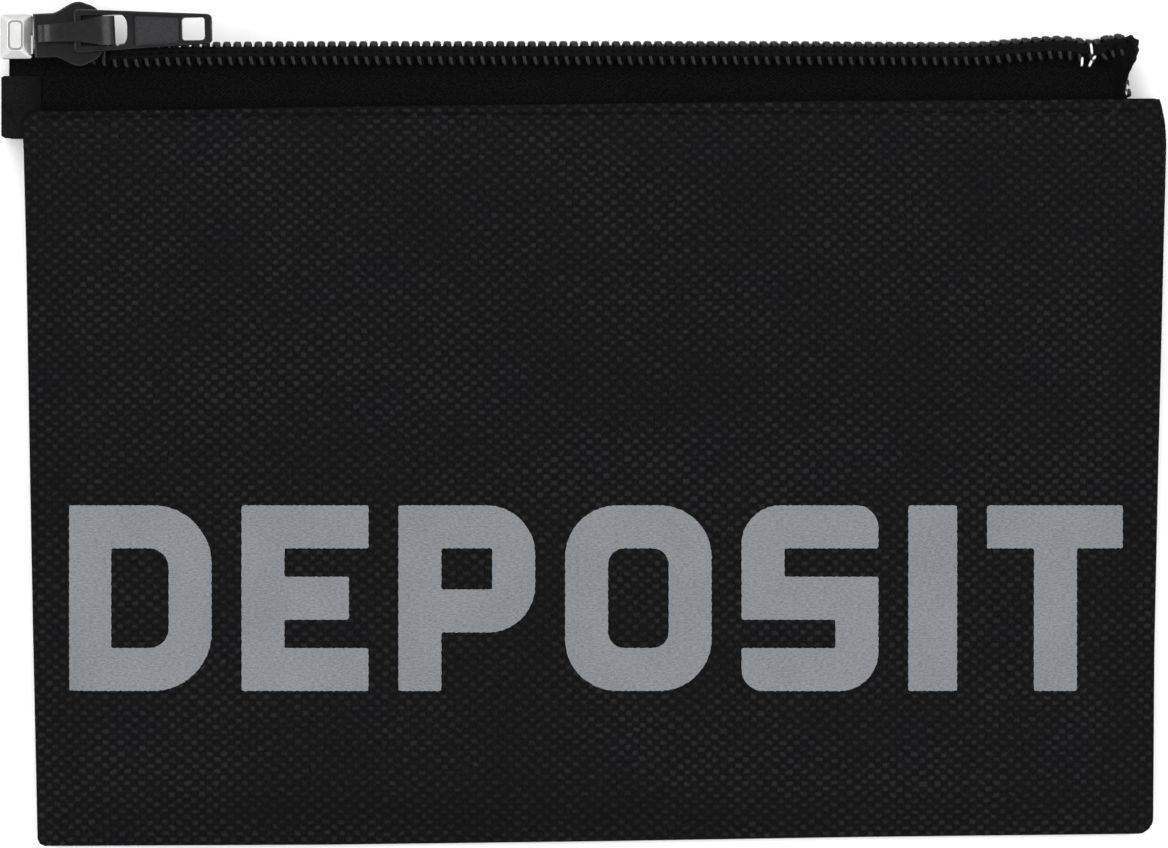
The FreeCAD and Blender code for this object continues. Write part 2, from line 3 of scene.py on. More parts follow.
import bmesh
import bpy
import numpy as np
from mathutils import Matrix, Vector


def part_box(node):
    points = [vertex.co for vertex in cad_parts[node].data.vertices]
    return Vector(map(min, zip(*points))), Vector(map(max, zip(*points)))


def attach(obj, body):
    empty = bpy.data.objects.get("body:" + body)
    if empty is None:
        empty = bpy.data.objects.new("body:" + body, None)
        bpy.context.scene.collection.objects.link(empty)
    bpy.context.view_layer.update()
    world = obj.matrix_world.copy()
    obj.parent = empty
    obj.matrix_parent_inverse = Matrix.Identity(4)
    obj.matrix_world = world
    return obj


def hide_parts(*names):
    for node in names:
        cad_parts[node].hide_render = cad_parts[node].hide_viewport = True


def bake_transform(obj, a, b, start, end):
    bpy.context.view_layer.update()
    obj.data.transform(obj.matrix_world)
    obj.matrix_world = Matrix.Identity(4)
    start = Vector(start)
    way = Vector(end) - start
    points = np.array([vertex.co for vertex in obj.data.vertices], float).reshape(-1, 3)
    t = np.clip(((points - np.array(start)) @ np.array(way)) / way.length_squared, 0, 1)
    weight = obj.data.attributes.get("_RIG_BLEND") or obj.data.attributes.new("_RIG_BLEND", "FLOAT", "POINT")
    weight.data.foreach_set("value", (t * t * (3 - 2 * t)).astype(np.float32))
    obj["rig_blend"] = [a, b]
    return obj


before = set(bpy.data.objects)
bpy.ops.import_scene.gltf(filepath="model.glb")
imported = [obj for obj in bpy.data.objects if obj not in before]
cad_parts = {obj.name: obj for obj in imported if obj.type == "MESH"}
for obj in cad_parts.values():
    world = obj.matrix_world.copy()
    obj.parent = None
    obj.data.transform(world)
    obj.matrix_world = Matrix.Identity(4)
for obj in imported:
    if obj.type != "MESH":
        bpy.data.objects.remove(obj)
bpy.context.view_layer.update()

# A small woven deposit bag lying on its back, with its coil zip undone. Every size below is in
# millimetres in the frame's own axes, and make_piece() turns points into metres.
MM = 0.001
scene = bpy.context.scene

# ---- Driving dimensions, as in the CAD ----
FABRIC = 0.75
RIM_Z = 1.8
BELLY_RISE = 4.4
BELLY_RAMP = 9.0
BELLY_X = (-85.5, 88.5)
BELLY_FOOT_Y = -63.5
EDGE_SLANT = 0.018  # how far the side edges lean outwards for each millimetre up
MOUTH_BLEND = (22.0, 43.0)
TAPE = 0.5
TAPE_HEM_Y = 44.0
TAPE_END_X = -88.5
FILM_X = (-89.7, -83.6)
FILM_Y = (44.1, 53.6)
COIL_HEIGHT = 1.9
TAPE_FLAT_Z = 1.0
TAPE_CLIMB_Y = (49.5, 54.3)
FRONT_TAPE_Z = 3.65
MOUTH_LIFT = 3.3
MOUTH_RISE = (-74.0, -30.0)
MOUTH_FALL = (26.0, 66.0)
STITCH_PITCH = 3.85
STITCH_LENGTH = 3.1
TOPSTITCH = [(-84.0, 47.2), (86.5, 48.2)]
BACK_STITCH = [(-82.5, 47.2), (83.0, 47.2)]
PRINT_LEFT_X = -79.2
PRINT_BASE_Y = -41.0
LETTER_HEIGHT = 28.5
STROKE = 6.6
LETTER_GAP = 4.6


# ---- Dimensions of the looks ----
CLOTH = 0.42  # real thickness of one layer of the woven panel
SEAM_Z = 1.2  # where the front and back seam allowances meet
SEAM_GAP = 0.02
SEAM_FROM_EDGE = 1.7  # where the seams draw the cloth in, from the panel's edge
HEM_DEPTH = 0.95  # folded hem, top face to bottom face
ROLL = (0.62, 0.47)  # how far the cloth bulges at a turned seam and at the hem
ROLL_ROOM = 1.1
ROLL_STEPS = 9
ALLOWANCE = (6.0, 5.0)  # cloth turned in at the seams and under the hem
ALLOWANCE_AT_CORNER = 0.6
ALLOWANCE_STEPS = 4
HEM_CHANGE_Y = (42.0, 45.5)  # the side seams turn into the free hem ends here
CORNER_RADII = {"top_left": 2.4, "bottom_left": 1.2, "bottom_right": 2.4, "top_right": 0.4}
CELL = 1.05  # size of the panel mesh's quads
WEAVE = (1.13, 0.89)  # yarn spacing of the panels along X and along Y
TAPE_WEAVE = (0.34, 0.27)
PITCH = 1.615  # one coil turn
FILAMENT = 0.34  # radius of the coil's monofilament
COIL_HALF_WIDTH = 1.5
HEAD_SWELL = (0.21, 0.14)  # how much wider a head is along the coil, and taller
PRINT = 0.09  # thickness of the ink
PRINT_ROOT = -0.08  # where the ink's edges end, inside the cloth


# ---- Points, paths and grids ----
def smooth(t):
    t = np.clip(t, 0.0, 1.0)
    return t * t * (3 - 2 * t)


def ramp(value, start, end):
    return smooth((value - start) / (end - start))


def unit(vectors):
    return vectors / np.linalg.norm(vectors, axis=-1, keepdims=True)


def distance_along(path):
    """How far along a path each of its points is."""
    return np.concatenate([[0.0], np.cumsum(np.linalg.norm(np.diff(path, axis=0), axis=1))])


def resampled(path, wanted):
    """The points of a path at the wanted distances along it."""
    along = distance_along(path)
    return np.stack([np.interp(wanted, along, column) for column in path.T], -1)


def cubic_weights(t):
    """Catmull-Rom weights of the four values round a place t of the way between two."""
    return np.stack(
        [
            -0.5 * t + t**2 - 0.5 * t**3,
            1 - 2.5 * t**2 + 1.5 * t**3,
            0.5 * t + 2 * t**2 - 1.5 * t**3,
            -0.5 * t**2 + 0.5 * t**3,
        ]
    )


def smooth_path(points, spacing):
    """Points a fixed spacing apart along a smooth curve through the given ones."""
    points = np.asarray(points, float)
    padded = np.vstack([2 * points[0] - points[1], points, 2 * points[-1] - points[-2]])
    fine = [
        cubic_weights(t) @ padded[index:index + 4]
        for index in range(len(points) - 1)
        for t in np.linspace(0, 1, 40, endpoint=False)
    ]
    fine = np.array(fine + [points[-1]])
    length = distance_along(fine)[-1]
    return resampled(fine, np.linspace(0, length, max(2, int(round(length / spacing)) + 1)))


def outward_of(line):
    """Unit vectors that point out of a closed anticlockwise line."""
    along = np.roll(line, -1, axis=0) - np.roll(line, 1, axis=0)
    return unit(np.stack([along[:, 1], -along[:, 0]], -1))


def grid_faces(rows, columns, around=False, first=0):
    """Quads of points stored row by row. around joins the last column to the first."""
    faces = []
    for i in range(rows - 1):
        for j in range(columns if around else columns - 1):
            k = (j + 1) % columns
            low, high = first + i * columns, first + (i + 1) * columns
            faces.append((low + j, low + k, high + k, high + j))
    return faces


def tube_faces(rows, columns, first=0):
    """Quads round a tube whose rings are its rows, then its first and last end."""
    ring = range(first, first + columns)
    ends = [tuple(ring)[::-1], tuple(index + (rows - 1) * columns for index in ring)]
    return grid_faces(rows, columns, True, first) + ends


def grid_rim(rows, columns):
    """The outermost points of a grid, anticlockwise from its first one."""
    index = np.arange(rows * columns).reshape(rows, columns)
    return np.concatenate([index[0, :-1], index[:-1, -1], index[-1, :0:-1], index[:0:-1, 0]])


def adjust(thing, **values):
    """Sets several attributes of a Blender thing."""
    for key, value in values.items():
        setattr(thing, key, value)
    return thing


def add_object(name, data):
    made = bpy.data.objects.new(name, data)
    scene.collection.objects.link(made)
    return made


# ---- Surfaces, each of them a function that gives Z for X and Y ----
def table(x, y):
    return 0.0


def raised(surface, height):
    """The surface that lies height above another one."""
    return lambda x, y: surface(x, y) + height


def front_tape_z(x, y):
    """Lower face of the front tape, lifted along the middle of the mouth."""
    return FRONT_TAPE_Z + MOUTH_LIFT * ramp(x, *MOUTH_RISE) * (1 - ramp(x, *MOUTH_FALL))


def back_tape_z(x, y):
    """Lower face of the back tape, which climbs from its panel to the top of its coil."""
    return np.interp(y, TAPE_CLIMB_Y, (TAPE_FLAT_Z, COIL_HEIGHT))


def panel_z(x, y):
    """The CAD's front panel, inside: a belly within the seams that ends on the tape."""
    left_foot = BELLY_X[0] - EDGE_SLANT * y + 1
    right_foot = 1 - BELLY_X[1] - EDGE_SLANT * y
    across = ramp(x, left_foot, left_foot + BELLY_RAMP)
    across = across * ramp(-x, right_foot, right_foot + BELLY_RAMP)
    up = ramp(y, BELLY_FOOT_Y, BELLY_FOOT_Y + BELLY_RAMP)
    at_mouth = ramp(y, *MOUTH_BLEND)
    belly = RIM_Z + BELLY_RISE * across * up
    return belly * (1 - at_mouth) + (front_tape_z(x, y) + FABRIC) * at_mouth


# Outline of both panels: each edge is nearly straight, and the corners are rounded off.
LEFT = [(-84.3, -63.9), (-85.0, -32.0), (-85.6, 0.0), (-86.1, 30.0), (-86.4, 45.8)]
RIGHT = [
    (87.8, -60.4), (88.0, -34.0), (88.6, -6.0), (89.3, 22.0), (89.7, 43.0), (89.4, 46.5),
    (88.7, 50.0),
]
BOTTOM = [(-83.6, -65.1), (-40.0, -64.9), (0.0, -64.4), (43.0, -63.7), (86.9, -63.2)]
TOP = [(-84.4, 48.2), (-42.0, 48.7), (0.0, 49.2), (42.0, 49.7), (84.0, 50.1)]


def panel_edges(x, y):
    """X of the left and right edges at y, then Y of the bottom and top edges at x."""
    left, right = [np.interp(y, *np.transpose(edge)[::-1]) for edge in (LEFT, RIGHT)]
    bottom, top = [np.interp(x, *np.transpose(edge)) for edge in (BOTTOM, TOP)]
    return left, right, bottom, top


# ---- Relief of the loose front panel ----
RELIEF_X = (-86.0, 90.0)
RELIEF_Y = (-65.0, 50.0)
RELIEF_CELL = 2.5
RELIEF_LIMIT = 0.7  # the cloth may not leave its CAD surface by more than this
SIMULATED_SIZE = 10  # the cloth simulation runs on a panel this many times larger
SIMULATED_FRAMES = 30
# Length, direction in degrees and height of each wave.
WAVES = [(61, 20, 0.10), (37, -50, 0.08), (23, 74, 0.06), (16, 12, 0.045), (11.5, -31, 0.03)]


def ripples(x, y):
    """Gentle waves of a cloth that was folded and handled: a sum of slanted, drifting waves."""
    total = np.zeros_like(x)
    for length, degrees, height in WAVES:
        turn = math.radians(degrees)
        along = x * math.cos(turn) + y * math.sin(turn)
        across = y * math.cos(turn) - x * math.sin(turn)
        drift = 0.35 * length * np.sin(across / (0.9 * length) + length)
        total = total + height * np.sin(2 * math.pi * (along + drift) / length)
    return total


def settled_cloth(x, y, z):
    """Heights of a grid of slack cloth after it was sewn down all round and lightly inflated."""
    size = MM * SIMULATED_SIZE
    points = np.stack([x, y, z], -1).reshape(-1, 3) * size
    mesh = bpy.data.meshes.new("slack_cloth")
    mesh.from_pydata(points.tolist(), [], grid_faces(*x.shape))
    cloth = add_object("slack_cloth", mesh)
    rim = np.sort(grid_rim(*x.shape)).tolist()
    cloth.vertex_groups.new(name="sewn").add(rim, 1.0, "ADD")
    modifier = cloth.modifiers.new("slack", "CLOTH")
    settings = adjust(
        modifier.settings, vertex_group_mass="sewn", shrink_min=-0.002, quality=6, mass=0.3,
        tension_stiffness=20, compression_stiffness=20, bending_stiffness=5.0,
        use_pressure=True, uniform_pressure_force=0.08,
    )
    settings.effector_weights.gravity = 0.0
    modifier.collision_settings.use_collision = False
    adjust(modifier.point_cache, frame_start=1, frame_end=SIMULATED_FRAMES)
    for step in range(1, SIMULATED_FRAMES + 1):
        scene.frame_set(step)
    shown = cloth.evaluated_get(bpy.context.evaluated_depsgraph_get())
    heights = np.array([vertex.co.z for vertex in shown.data.vertices]) / size
    bpy.data.objects.remove(cloth)
    scene.frame_set(1)
    return heights.reshape(x.shape)


def relief_grid():
    """Heights of the slack front panel off its CAD surface, on a regular grid in X and Y."""
    xs = np.arange(RELIEF_X[0], RELIEF_X[1] + RELIEF_CELL / 2, RELIEF_CELL)
    ys = np.arange(RELIEF_Y[0], RELIEF_Y[1] + RELIEF_CELL / 2, RELIEF_CELL)
    x, y = np.meshgrid(xs, ys)
    lift = settled_cloth(x, y, panel_z(x, y) + ripples(x, y)) - panel_z(x, y)
    return RELIEF_LIMIT * np.tanh((lift - np.mean(lift)) / RELIEF_LIMIT)


RELIEF = relief_grid()


def relief(x, y):
    """The relief between the grid's points."""
    rows, columns = RELIEF.shape
    fx = np.clip((x - RELIEF_X[0]) / RELIEF_CELL, 0, columns - 1.001)
    fy = np.clip((y - RELIEF_Y[0]) / RELIEF_CELL, 0, rows - 1.001)
    ix, iy = fx.astype(int), fy.astype(int)
    wx, wy = cubic_weights(fx - ix), cubic_weights(fy - iy)
    total = np.zeros_like(fx)
    for a, b in np.ndindex(4, 4):
        row = np.clip(iy + a - 1, 0, rows - 1)
        column = np.clip(ix + b - 1, 0, columns - 1)
        total = total + wy[a] * wx[b] * RELIEF[row, column]
    return total


def front_top(x, y):
    """Outer face of the front panel, with its slack, its sewn edges and its stitch line."""
    x, y = np.asarray(x, float), np.asarray(y, float)
    left, right, bottom, top = panel_edges(x, y)
    side, from_bottom = np.minimum(x - left, right - x), y - bottom
    slack = ramp(np.minimum(side, from_bottom), 0.5, 8.0) * (0.25 + 0.75 * ramp(top - y, 1, 12))
    z = panel_z(x, y) + FABRIC + relief(x, y) * slack
    turn = 2 * math.pi / STITCH_PITCH
    for from_edge, along in ((side, y), (from_bottom, x)):
        pull = 0.6 + 0.4 * np.cos(turn * along)
        z = z - 0.05 * np.exp(-(((from_edge - SEAM_FROM_EDGE) / 0.8) ** 2)) * pull
    pucker = np.sin(2 * math.pi * y / 7.7 + 1.3 * np.sin(y / 9)) * np.exp(-side / 5)
    z = z + 0.10 * pucker * ramp(side, 0.0, 2.0)
    (start_x, start_y), (end_x, end_y) = TOPSTITCH
    stitch_y = start_y + (x - start_x) * (end_y - start_y) / (end_x - start_x)
    pull = 0.7 + 0.3 * np.cos(turn * (x - start_x))
    return z - 0.13 * np.exp(-(((y - stitch_y) / 0.45) ** 2)) * pull


# ---- Pieces and how they move ----
def make_piece(name, points, faces, material, corners=None, sharp=38.0):
    """A mesh object from points in millimetres. corners holds a texture place for each corner."""
    mesh = bpy.data.meshes.new(name)
    mesh.from_pydata((np.asarray(points, float) * MM).tolist(), [], faces)
    mesh.polygons.foreach_set("use_smooth", [True] * len(mesh.polygons))
    if sharp:
        mesh.set_sharp_from_angle(angle=math.radians(sharp))
    if corners is not None:
        layer = mesh.uv_layers.new(name="fabric")
        layer.data.foreach_set("uv", (np.asarray(corners, float) * MM).ravel())
    mesh.materials.append(material)
    return add_object(name, mesh)


def corners_of(faces, places):
    """The texture place of every face corner, from one place for each point."""
    return [places[index] for face in faces for index in face]


def face_outwards(piece):
    shape = bmesh.new()
    shape.from_mesh(piece.data)
    bmesh.ops.recalc_face_normals(shape, faces=shape.faces)
    shape.to_mesh(piece.data)
    shape.free()


def thicken(piece, thickness, offset):
    """Gives a sheet its thickness, outwards for an offset of 1 and inwards for -1."""
    shell = piece.modifiers.new("thickness", "SOLIDIFY")
    return adjust(shell, thickness=thickness * MM, offset=offset)


class Tubes:
    """Several tubes gathered into one mesh, each with its own texture places along and around."""

    def __init__(self):
        self.points = []
        self.faces = []
        self.corners = []

    def add(self, path, wide, thick, across, sides=8, power=1.0):
        """A tube along path: wide is its radius along the vectors across, thick the other one.
        power below 1 makes its section squarer."""
        path = np.asarray(path, float)
        count = len(path)
        wide, thick, power = [np.broadcast_to(v, count)[:, None] for v in (wide, thick, power)]
        tangent = unit(np.gradient(path, axis=0))
        second = unit(np.cross(tangent, np.broadcast_to(across, path.shape)))
        first = np.cross(second, tangent)
        turn = 2 * math.pi * (np.arange(sides) + 0.5) / sides
        right, up = [np.sign(v) * np.abs(v) ** power for v in (np.cos(turn), np.sin(turn))]
        ring = (wide * right)[:, :, None] * first[:, None]
        ring = ring + (thick * up)[:, :, None] * second[:, None]
        self.faces += tube_faces(count, sides, len(self.points))
        self.points += (path[:, None] + ring).reshape(-1, 3).tolist()
        along = distance_along(path)
        for low, high in zip(along, along[1:]):
            for j in range(sides):
                a, b = j / sides, (j + 1) / sides
                self.corners += [(low, a), (low, b), (high, b), (high, a)]
        round_end = [j / sides for j in range(sides)]
        self.corners += [(0.0, a) for a in round_end[::-1]] + [(along[-1], a) for a in round_end]

    def piece(self, name, material):
        made = make_piece(name, self.points, self.faces, material, self.corners)
        face_outwards(made)
        return made


MOUTH_END_X = 80.0


def open_with_mouth(piece):
    """The piece bends from the back half to the lifted front half, most at the mouth's middle.
    Both ends of the mouth stay put."""
    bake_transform(piece, "bag_back", "bag_front", start=(-0.056, 0, 0), end=(0, 0, 0))
    weights = piece.data.attributes["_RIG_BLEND"].data
    for vertex, weight in zip(piece.data.vertices, weights):
        weight.value *= 1 - float(smooth(vertex.co.x / (MOUTH_END_X * MM)))


# ---- Material helpers ----
def math_step(operation):
    """A method that puts a Math node after a value."""
    return lambda value, *others, **settings: value.shader.node(
        "ShaderNodeMath", enumerate((value, *others)), operation=operation, **settings
    )


class Value:
    """An output of a node. Sums, products and powers of values are Math nodes."""

    def __init__(self, shader, socket):
        self.shader = shader
        self.socket = socket

    __add__ = plus = math_step("ADD")
    __sub__ = math_step("SUBTRACT")
    __mul__ = times = math_step("MULTIPLY")
    __truediv__ = math_step("DIVIDE")
    __pow__ = math_step("POWER")
    __abs__ = math_step("ABSOLUTE")
    cosine = math_step("COSINE")
    floor = math_step("FLOOR")
    at_least = math_step("MAXIMUM")
    smooth_at_most = math_step("SMOOTH_MIN")
    over = math_step("GREATER_THAN")
    times_plus = math_step("MULTIPLY_ADD")

    def spread(self, low, high, to_low=0.0, to_high=1.0):
        """Stretches the range from low to high over another one, and stops at its ends."""
        inputs = enumerate((self, low, high, to_low, to_high))
        return self.shader.node("ShaderNodeMapRange", inputs, clamp=True)


class Shader:
    """The node tree of a material or a world, with short calls for the nodes that repeat."""

    def __init__(self, name, kind="materials", surface="Principled BSDF"):
        self.block = getattr(bpy.data, kind).new(name)
        self.block.use_nodes = True
        self.tree = self.block.node_tree
        self.surface = self.tree.nodes[surface]

    def node(self, kind, inputs=(), output=0, **settings):
        made = adjust(self.tree.nodes.new(kind), **settings)
        for key, value in dict(inputs).items():
            self.put(made.inputs[key], value)
        return Value(self, made.outputs[output])

    def put(self, socket, value):
        if isinstance(value, Value):
            self.tree.links.new(value.socket, socket)
        else:
            socket.default_value = value

    def vector(self, operation, *values, output=0):
        return self.node("ShaderNodeVectorMath", enumerate(values), output, operation=operation)

    def split(self, vector):
        first = self.node("ShaderNodeSeparateXYZ", {0: vector})
        return [Value(self, output) for output in first.socket.node.outputs]

    def fabric_place(self):
        return self.node("ShaderNodeUVMap", uv_map="fabric")

    def object_place(self):
        return self.node("ShaderNodeTexCoord", output="Object")

    def geometry(self, output):
        return self.node("ShaderNodeNewGeometry", output=output)

    def noise(self, place, scale, detail=2.0, roughness=0.5, output=0):
        """Noise with scale features to a metre, from about 0.2 to 0.8. Three scales in place of
        one stretch it."""
        if isinstance(scale, tuple):
            place, scale = self.vector("MULTIPLY", place, scale), 1.0
        inputs = {"Vector": place, "Scale": scale, "Detail": detail, "Roughness": roughness}
        return self.node("ShaderNodeTexNoise", inputs, output)

    def mix(self, factor, a, b):
        """A mix of two colours."""
        return self.node("ShaderNodeMix", {0: factor, 6: a, 7: b}, 2, data_type="RGBA")

    def blend(self, factor, a, b):
        """A mix of two numbers."""
        return self.node("ShaderNodeMix", {0: factor, 2: a, 3: b})

    def bump(self, height, distance, **normal):
        """distance is in millimetres for a height of 1."""
        inputs = {"Height": height, "Distance": distance * MM, **normal}
        return self.node("ShaderNodeBump", inputs)

    def set(self, **values):
        for key, value in values.items():
            self.put(self.surface.inputs[key.replace("_", " ")], value)
        return self.block

    def finish(self, colour, roughness, specular, **others):
        return self.set(
            Base_Color=colour, Roughness=roughness, Specular_IOR_Level=specular, **others
        )


def grey(level, blue=0.0):
    return (level, level, level * (1 + blue), 1.0)


def painted_slope_shade(shader, low, high):
    """1 on level faces, falling to 0 on upright ones: a mask for painted shade on slopes."""
    return abs(shader.split(shader.geometry("Normal"))[2]).spread(low, high)


def weave(shader, place, spacing):
    """A plain weave: its height from 0 to 1, how far a crosswise yarn is on top, and a yarn's own
    random number. Yarns wander a little and are made of filaments."""
    drift = shader.noise(place, 110.0, 4.0, 0.72, "Color")
    drift = shader.vector("SUBTRACT", drift, (0.5, 0.5, 0.5))
    drift = shader.vector("MULTIPLY", drift, (2.2 * MM, 1.7 * MM, 0.0))
    placed = shader.vector("ADD", place, drift)
    counts = [part / (size * MM) for part, size in zip(shader.split(placed), spacing)]
    waves = [(count * math.pi).cosine() for count in counts]
    product = waves[0] * waves[1]
    crosswise_up = product.over(0.0)
    crown = product.at_least(0.0).smooth_at_most(0.92, 0.25) * abs(waves[1]) ** 0.45
    lengthwise = (product * -1.0).at_least(0.0) ** 0.7
    rounded = enumerate((count + 0.5).floor() for count in counts)
    cell = shader.node("ShaderNodeCombineXYZ", rounded)
    random = shader.node("ShaderNodeTexWhiteNoise", {0: cell}, "Value")
    over = crown * (random * 0.3 + 0.7) + shader.noise(placed, (900, 9000, 1), 1.0) * 0.22
    under = lengthwise * 0.62 + shader.noise(placed, (9000, 900, 1), 1.0) * 0.22
    return shader.blend(crosswise_up, under, over), crosswise_up * crown, random


def woven_material(name, spacing, valley, crown, depth, grain=0.42, flecks=0.25):
    """Woven cloth: painted shade between the yarns, a painted highlight on their crowns that fades on
    slopes, painted crease shading, uneven wear, and fine filaments showing between the crowns."""
    shader = Shader(name)
    place = shader.fabric_place()
    height, top, random = weave(shader, place, spacing)
    patches = shader.noise(place, 45.0, 4.0, 0.6).spread(0.35, 0.65, 0.5, 1.5)
    # Painted shade and light of creases: long bands that darken and lighten the crowns.
    crease_painted_shade = shader.noise(place, (16, 42, 1), 3.0, 0.6).spread(0.38, 0.62, 0.72, 1.22)
    filaments = shader.noise(place, (4300, 1300, 1), 2.0, 0.7).spread(0.36, 0.74)
    # Painted highlight on the crowns and painted shade in the valleys: lit sets how far each place goes from
    # the valley colour to the crown colour.
    lit = top**0.85 * (patches * crease_painted_shade) * (random * 0.7 + 0.4) + filaments * grain
    lint = shader.noise(place, 2600.0, 0.0).spread(0.74, 0.80) * 0.3
    # Painted shade: sloping faces, such as the rolled edges and the hem, lose the crowns' painted highlight.
    lit = lit.plus(lint, use_clamp=True) * painted_slope_shade(shader, 0.45, 0.97)
    fleck = shader.noise(place, (1900, 2700, 1), 1.0)
    lit = lit * fleck.spread(0.35, 0.65, 1 - flecks, 1 + flecks)
    tinge = shader.noise(place, 75.0, 3.0).spread(0.52, 0.66)
    bluish = tuple(level * gain for level, gain in zip(crown, (0.95, 0.98, 1.20, 1.0)))
    colour = shader.mix(lit, valley, shader.mix(tinge, crown, bluish))
    roughness = top.spread(0.0, 1.0, 0.9, 0.7)
    return shader.finish(colour, roughness, 0.05, Normal=shader.bump(height, depth))


def coating_material():
    """The polyurethane coat on the panels' inner faces: the weave shows through it, softened."""
    shader = Shader("panel_coating")
    place = shader.fabric_place()
    smears = shader.noise(place, 90.0, 5.0, 0.65)
    colour = shader.mix(smears, grey(0.010), grey(0.024, 0.06))
    normal = shader.bump(weave(shader, place, WEAVE)[0], 0.06)
    return shader.finish(colour, smears.spread(0.3, 0.7, 0.34, 0.55), 0.45, Normal=normal)


def thread_material(name, low, high, plies, pitch, depth):
    """Twisted yarn: plies wind round it once in pitch millimetres, with fine filaments on them.
    The grooves between the plies get painted shade.
    """
    shader = Shader(name)
    along, around = shader.split(shader.fabric_place())[:2]
    turns = along / (pitch * MM) + around / MM * plies
    ply = (turns * (2 * math.pi)).cosine().spread(-1.0, 0.6)
    fuzz = shader.noise(shader.object_place(), 9000.0)
    wear = shader.noise(shader.object_place(), 400.0, 3.0).spread(0.3, 0.7, 0.6, 1.1)
    # Painted shade: the grooves between the plies are given the darker colour.
    colour = shader.mix(ply.times(wear, use_clamp=True), low, high)
    normal = shader.bump(ply + fuzz * 0.5, depth)
    return shader.finish(colour, fuzz.spread(0.3, 0.7, 0.42, 0.62), 0.05, Normal=normal)


def nylon_material():
    """Monofilament: satin, faintly streaked along its length, with scuffed heads."""
    shader = Shader("coil_nylon")
    streaks = shader.noise(shader.fabric_place(), (260, 5200, 1))
    scuffs = shader.noise(shader.object_place(), 700.0, 4.0, 0.7)
    colour = shader.mix(scuffs, grey(0.003), grey(0.010, 0.08))
    roughness = scuffs.spread(0.3, 0.7, 0.30, 0.46)
    return shader.finish(colour, roughness, 0.22, Normal=shader.bump(streaks, 0.012))


def film_material():
    """Stiffening film: smooth, dark over the tape, with fine creases from handling. It
    darkens along a ragged line near its right edge."""
    shader = Shader("end_film")
    place = shader.object_place()
    creases = shader.noise(place, (320, 768, 320), 6.0, 0.7)
    clouds = shader.noise(place, 260.0, 4.0, 0.65)
    threads = shader.noise(place, (1900, 2700, 1), 1.0)
    ragged = shader.split(place)[0] + clouds * (4 * MM)
    # The tone darkens towards the film's right end, along a ragged line.
    darker_to_right = ragged.spread(-85.2 * MM, -82.4 * MM, 1.15, 0.3)
    tone = (clouds * 0.5 + threads * 0.5).spread(0.36, 0.64) * darker_to_right
    colour = shader.mix(tone, grey(0.0012), grey(0.0056, 0.04))
    roughness = clouds.spread(0.3, 0.7, 0.55, 0.7)
    return shader.finish(colour, roughness, 0.05, Normal=shader.bump(creases, 0.03))


def nickel_material():
    """Bright plate: fine drawn lines, smudges, and small dull knocks, with painted shade on its sloping
    bevels.
    """
    shader = Shader("bright_metal")
    place = shader.object_place()
    lines = shader.noise(place, (9000, 700, 700))
    smudges = shader.noise(place, 520.0, 5.0, 0.6)
    knocks = shader.noise(place, 2300.0, 1.0).spread(0.66, 0.76)
    plate = shader.mix(smudges, (0.56, 0.56, 0.55, 1), (0.70, 0.70, 0.685, 1))
    # Painted shade: sloping faces such as the box's bevels take a dark grey in place of the bright plate.
    colour = shader.mix(painted_slope_shade(shader, 0.35, 0.96), (0.14, 0.15, 0.145, 1), plate)
    roughness = smudges.spread(0.3, 0.7, 0.30, 0.46).plus(knocks * 0.25, use_clamp=True)
    normal = shader.bump(lines * 0.3 - knocks, 0.008)
    return shader.finish(colour, roughness, 0.5, Normal=normal, Metallic=0.5)


def lacquer_material(name, plate=None):
    """Glossy black lacquer on cast metal, with orange peel, dust and lighter convex edges. plate is the
    mask of a sunk, grainy panel, if there is one."""
    shader = Shader(name)
    place = shader.object_place()
    dust = shader.noise(place, 5200.0, 0.0).spread(0.76, 0.80)
    smudges = shader.noise(place, 420.0, 4.0, 0.6)
    # Lighter colour on sharp convex edges, where the smudge noise is high.
    lighter_edges = shader.geometry("Pointiness").spread(0.53, 0.62) * smudges
    tarnish = shader.noise(place, 260.0, 5.0, 0.7).spread(0.35, 0.7)
    colour = shader.mix(tarnish, grey(0.0018, 0.05), grey(0.0078, 0.14))
    colour = shader.mix(lighter_edges, colour, grey(0.011, 0.05))
    colour = shader.mix(dust * 0.4, colour, grey(0.03))
    rough = smudges.spread(0.3, 0.7, 0.20, 0.32)
    normal = shader.bump(shader.noise(place, 1500.0), 0.010)
    if plate is not None:
        mask = plate(shader, place)
        grain = shader.noise(place, 2600.0, 3.0, 0.75).spread(0.32, 0.70)
        grained = shader.mix(grain, grey(0.0075, 0.12), grey(0.026, 0.2))
        colour = shader.mix(mask, colour, grained)
        rough = shader.blend(mask, rough, 0.5)
        normal = shader.bump(grain * mask, 0.06, Normal=normal)
    return shader.finish(
        colour, rough, 0.21, Normal=normal, Coat_Weight=0.04, Coat_Roughness=0.2
    )


def print_material():
    """Silver-grey screen print: flat and dry, drawn out in fine streaks, with missed pinholes."""
    shader = Shader("print_silver")
    place = shader.fabric_place()
    height = weave(shader, place, WEAVE)[0]
    clouds = shader.noise(place, 60.0, 4.0, 0.6)
    streaks = shader.noise(place, (1500, 4600, 1), 3.0, 0.75)
    specks = shader.noise(place, 4200.0, 2.0, 0.7)
    tone = (clouds * 0.14 + specks * 0.3 + streaks * 0.56).spread(0.36, 0.64)
    silver = shader.mix(tone, (0.100, 0.107, 0.116, 1), (0.208, 0.219, 0.232, 1))
    holes = specks.spread(0.30, 0.24) * height.spread(0.5, 0.2)
    colour = shader.mix(holes, silver, grey(0.03))
    normal = shader.bump(height + streaks * 1.2, 0.018)
    return shader.finish(colour, specks.spread(0.3, 0.7, 0.72, 0.88), 0.1, Normal=normal)


PLATE_YAW = math.radians(1.0)
PLATE_CENTRE = 2.2  # from the middle of the tab, towards its tip
PLATE_HALF_LENGTH = 3.35
PLATE_HALF_WIDTH = 2.25  # at the tab's middle
PLATE_TAPER = -0.054


